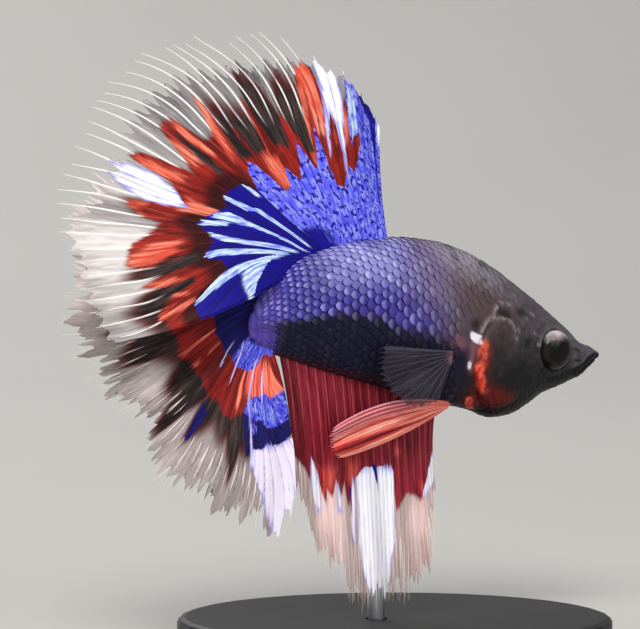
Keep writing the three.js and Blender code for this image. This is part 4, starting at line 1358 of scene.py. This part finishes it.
finDefaults = {
    "lean": steady(0), "curl": steady(0), "forks": [(0.45, 0.25)], "notch": steady(0.03), "bow": steady(0),
    "edge": steady(0.98), "tips": steady(1.0), "stray": 0.0015, "uneven": 0.018, "ragged": 0.0,
    "rayWidth": 0.16, "rayTip": 0.06, "frill": 0.25, "frills": 13, "rayShow": 0.35, "spineShow": 0.12,
}


def fin(rays, **lines):
    made = dict(finDefaults, rays=rays)
    made.update(lines)
    made["lengths"] = np.abs(dice.normal(0, made["uneven"], 2 * rays + 1))
    made["tatters"] = dice.random(8 * rays + 1) ** 2
    return made


dorsalFin = fin(
    20, grid=(520, 100), ease=3.4, yaw=0, ripple=0.8, waves=4.2, phase=0.1, twist=0.15, root=dorsalRoot,
    angle=through([
        [0, 93.5], [0.1, 97], [0.24, 109], [0.37, 122], [0.47, 131.5], [0.56, 141.5], [0.67, 155],
        [0.75, 164.5], [0.87, 181], [1, 200]]),
    reach=through([
        [0, 12.6], [0.1, 17.4], [0.24, 22.4], [0.37, 24.6], [0.47, 26.2], [0.56, 26], [0.67, 24.2],
        [0.75, 24.4], [0.87, 21.5], [1, 20]]),
    bow=through([[0, 0.3], [0.4, 0], [0.8, -0.2], [1, 1.0]]),
    drift=through([[0, 0.8], [0.3, -1.5], [0.6, -5], [1, -8.8]]),
    lean=through([[0, 0], [0.4, 0.02], [0.57, 0.1], [0.64, 0.18], [0.78, 0.3], [1, 0.38]]),
    curl=through([
        [0, 0], [0.12, 0.008], [0.22, 0.036], [0.5, 0.034], [0.58, 0.01], [0.75, 0.008], [1, 0]]),
    edge=through([
        [0, 1.0], [0.15, 1.0], [0.2, 0.955], [0.5, 0.935], [0.72, 0.94], [0.8, 1.0], [1, 0.99]]),
    notch=through([
        [0, 0.015], [0.15, 0.03], [0.21, 0.055], [0.5, 0.07], [0.72, 0.07], [0.8, 0.03], [1, 0.03]]),
    tips=through([[0, 1.0], [0.15, 1.01], [0.2, 1.05], [0.7, 1.06], [0.8, 1.0], [1, 1.0]]),
    rayTip=0.125, stray=0.0028, zones=dorsalZones)
caudalFin = fin(
    26, grid=(560, 100), ease=2.2, yaw=0, ripple=0.9, waves=5.3, phase=0.35, twist=0.2, root=caudalRoot,
    angle=through([
        [0, 133], [0.087, 144.5], [0.17, 155], [0.3, 171.2], [0.39, 183.8], [0.465, 195], [0.567, 210],
        [0.63, 216], [0.735, 232], [0.81, 245.5], [0.882, 258.4], [0.934, 265], [1, 277]]),
    reach=through([
        [0, 20], [0.087, 21.5], [0.17, 22.7], [0.228, 22], [0.3, 20.3], [0.39, 20.7], [0.465, 19.7],
        [0.567, 18.8], [0.63, 15.6], [0.735, 18.2], [0.81, 18], [0.882, 18.4], [0.934, 20.2],
        [1, 18.5]]),
    bow=through([[0, 0.6], [0.5, 0], [0.9, 0.6], [1, 1.0]]),
    drift=through([[0, 2.2], [0.3, 0.6], [0.6, -0.8], [1, -4.6]]),
    lean=through([[0, 0.02], [0.3, 0.1], [0.6, 0.17], [0.87, 0.2], [1, 0.2]]),
    edge=through([
        [0, 1.0], [0.54, 0.99], [0.58, 0.9], [0.61, 0.97], [0.67, 1.0], [0.78, 0.95], [0.86, 1.0],
        [0.9, 0.95], [0.93, 0.88], [0.96, 0.99], [0.98, 0.97], [1, 0.9]]),
    notch=steady(0.045),
    tips=through([
        [0, 1.02], [0.54, 1.01], [0.58, 0.92], [0.62, 1.0], [0.9, 0.99], [0.93, 0.92], [0.96, 1.0],
        [1, 0.93]]),
    forks=[(0.4, 0.25), (0.68, 0.125)], stray=0.0032, uneven=0.035, ragged=0.08, rayTip=0.045,
    zones=caudalZones, frill=0.4, frills=19)
analFin = fin(
    18, grid=(480, 100), ease=1.6, yaw=0, ripple=0.9, waves=4.6, phase=0.2, twist=0.25, root=analRoot,
    angle=through([[0, 277.5], [0.1, 274], [0.4, 273.5], [0.7, 274], [0.92, 275], [1, 276]]),
    reach=through([
        [0, 16.8], [0.1, 19], [0.25, 22.4], [0.4, 23.5], [0.55, 24.6], [0.62, 25], [0.67, 24.5],
        [0.7, 21.8], [0.82, 22], [0.87, 21.8], [0.92, 17], [1, 15]]),
    bow=through([[0, -1.3], [0.15, 0], [0.4, 0.3], [1, 0.3]]),
    drift=through([[0, -2], [0.4, -0.6], [1, 1.4]]),
    edge=through([[0, 0.6], [0.03, 0.66], [0.07, 0.86], [0.12, 0.99], [0.9, 1.0], [1, 1.0]]),
    notch=steady(0.04), tips=through([[0, 0.64], [0.03, 0.7], [0.07, 0.9], [0.12, 1.02], [1, 1.02]]),
    forks=[(0.42, 0.25), (0.7, 0.125)], stray=0.004, uneven=0.035, ragged=0.08, rayTip=0.045,
    zones=analZones, frill=0.35, frills=11, rayWidth=0.13, rayShow=0.8, spineShow=0.55)
pectoralFin = fin(
    8, grid=(110, 60), ease=1, yaw=38, ripple=0.3, waves=2, phase=0.1, twist=0.1, rayWidth=0.08,
    rayTip=0.03, notch=steady(0.05), root=lambda a: beside(0.495 + 0.004 * a, 3.9, 30.8 - 1.1 * a),
    angle=through([[0, 171], [0.3, 188], [0.7, 221], [1, 252]]),
    reach=through([[0, 7.5], [0.3, 7.8], [0.7, 6.7], [1, 4.3]]),
    drift=through([[0, -1.5], [1, -1.2]]), zones=pectoralZones, frill=0.08, frills=3, uneven=0.01)
pelvicRightFin = fin(
    7, grid=(110, 90), ease=1.4, yaw=41, ripple=0.25, waves=1.6, phase=0.3, twist=0.2, rayWidth=0.13,
    root=lambda a: beside(0.46 + 0.004 * a, 1.9 - 0.3 * a, 25.2 - 0.5 * a),
    angle=through([[0, 187], [0.4, 192], [0.75, 197], [1, 200.5]]),
    reach=through([[0, 12.4], [0.35, 12.7], [0.75, 12.6], [1, 12.1]]),
    bow=through([[0, -1.4], [0.5, -0.6], [1, 0.6]]), drift=through([[0, -1.6], [1, -1.2]]),
    zones=pelvicZones, frill=0.1, frills=3, edge=steady(1.0), uneven=0.008)
pelvicLeftFin = fin(
    6, grid=(90, 80), ease=1.4, yaw=20, ripple=0.2, waves=1.4, phase=0.2, twist=0.2, rayWidth=0.13,
    root=lambda a: beside(0.435 + 0.004 * a, -1.9 + 0.3 * a, 25.9 - 1.1 * a),
    angle=through([[0, 236], [0.5, 247], [1, 258]]),
    reach=through([[0, 7], [0.4, 11.5], [0.7, 12], [1, 8]]),
    bow=steady(0.2), drift=through([[0, 1.8], [1, 1.2]]), zones=pelvicZones, frill=0.1, frills=3,
    uneven=0.008)


def mirrored(made, t):
    # the same fin on the left side: its points are reflected across the body's upright plane at t
    x, y, _ = beside(t, 0, 0)
    aside = np.array([np.sin(heading(t)), -np.cos(heading(t)), 0.0])
    middle = np.array([x, y, 0.0])
    return dict(made, mirror=(middle, aside))


def makeFin(name, made, tones, slotName):
    membrane = finPaint(name + "_paint", made, tones)
    ribs = finPaint(name + "_ray_paint", made, tones, True)
    makeMembrane(name + "_web", made, slotName, name, membrane)
    makeRays(name + "_rays", made, slotName, ribs)


caudalTones = dict(
    usualTones, redDeep=(92, 16, 18), redMid=(150, 32, 28), redPale=(214, 72, 56), navy=(12, 12, 52),
    blueNight=(24, 20, 104), blueMid=(64, 66, 206), bluePale=(134, 140, 244), whiteShade=(160, 150, 222),
    whitePale=(230, 222, 240), clearDark=(128, 114, 112), clearPale=(240, 226, 226),
    rayPale=(236, 224, 222), threadTone=(176, 164, 160))
analTones = dict(
    usualTones, redDark=(46, 8, 14), redDeep=(100, 14, 26), redMid=(150, 36, 52), redPale=(198, 58, 52),
    redGlow=(216, 92, 80), whiteShade=(166, 170, 236), clearDark=(162, 144, 138),
    clearPale=(248, 216, 214), rayRed=(204, 112, 126), rayPale=(238, 218, 212),
    threadTone=(226, 200, 196))
pelvicTones = dict(
    usualTones, redDark=(108, 14, 24), redDeep=(182, 46, 46), redMid=(236, 92, 84),
    redPale=(250, 130, 114), redGlow=(255, 186, 168), whiteShade=(196, 122, 142),
    whitePale=(226, 176, 188), rayRed=(236, 120, 100))
pectoralTones = dict(
    usualTones, clearDark=(50, 46, 58), clearPale=(86, 80, 92), redDark=(50, 38, 44),
    redDeep=(96, 70, 76), redMid=(140, 104, 110), redPale=(180, 146, 148), rayPale=(98, 92, 104),
    threadTone=(74, 68, 80))
leftPectoralFin = mirrored(dict(pectoralFin, yaw=44), 0.495)      # held clear of the rod

makeFin("dorsal_fin", dorsalFin, usualTones, "dorsal_membrane")
makeFin("caudal_fin", caudalFin, caudalTones, "caudal_membrane")
makeFin("anal_fin", analFin, analTones, "anal_membrane")
makeFin("pelvic_fin_right", pelvicRightFin, pelvicTones, "pelvic_membrane")
makeFin("pelvic_fin_left", pelvicLeftFin, pelvicTones, "pelvic_membrane")
makeFin("pectoral_fin_right", pectoralFin, pectoralTones, "pectoral_membrane")
makeFin("pectoral_fin_left", leftPectoralFin, pectoralTones, "pectoral_membrane")
print("fins ready")


stand = {
    "black": colour(16, 16, 18), "blackPale": colour(26, 26, 29), "blackRough": 0.46,
    "steel": colour(178, 180, 184), "steelRough": 0.26,
}


def standPaints():
    base = Paint("stand_base_paint")
    swirl = base.noise(base.place(), 120.0, 4.0)
    tone = base.mix(stand["black"], stand["blackPale"], swirl)
    matt = stand["blackRough"] + 0.08 * swirl
    black = base.finish(Base_Color=tone, Roughness=matt, Specular_IOR_Level=0.4)
    rod = Paint("stand_rod_paint")
    brushed = rod.noise(rod.vector(rod.node("SeparateXYZ", {}, [rod.place()], "X") * 900.0, 0.0), 4.0)
    drawn = stand["steelRough"] + 0.14 * brushed
    return black, rod.finish(Base_Color=stand["steel"], Metallic=1.0, Roughness=drawn)


blackAcrylic, brushedSteel = standPaints()
for nodeName, material in (("stand_base", blackAcrylic), ("stand_rod", brushedSteel)):
    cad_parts[nodeName].data.materials.clear()
    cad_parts[nodeName].data.materials.append(material)
print("stand ready")
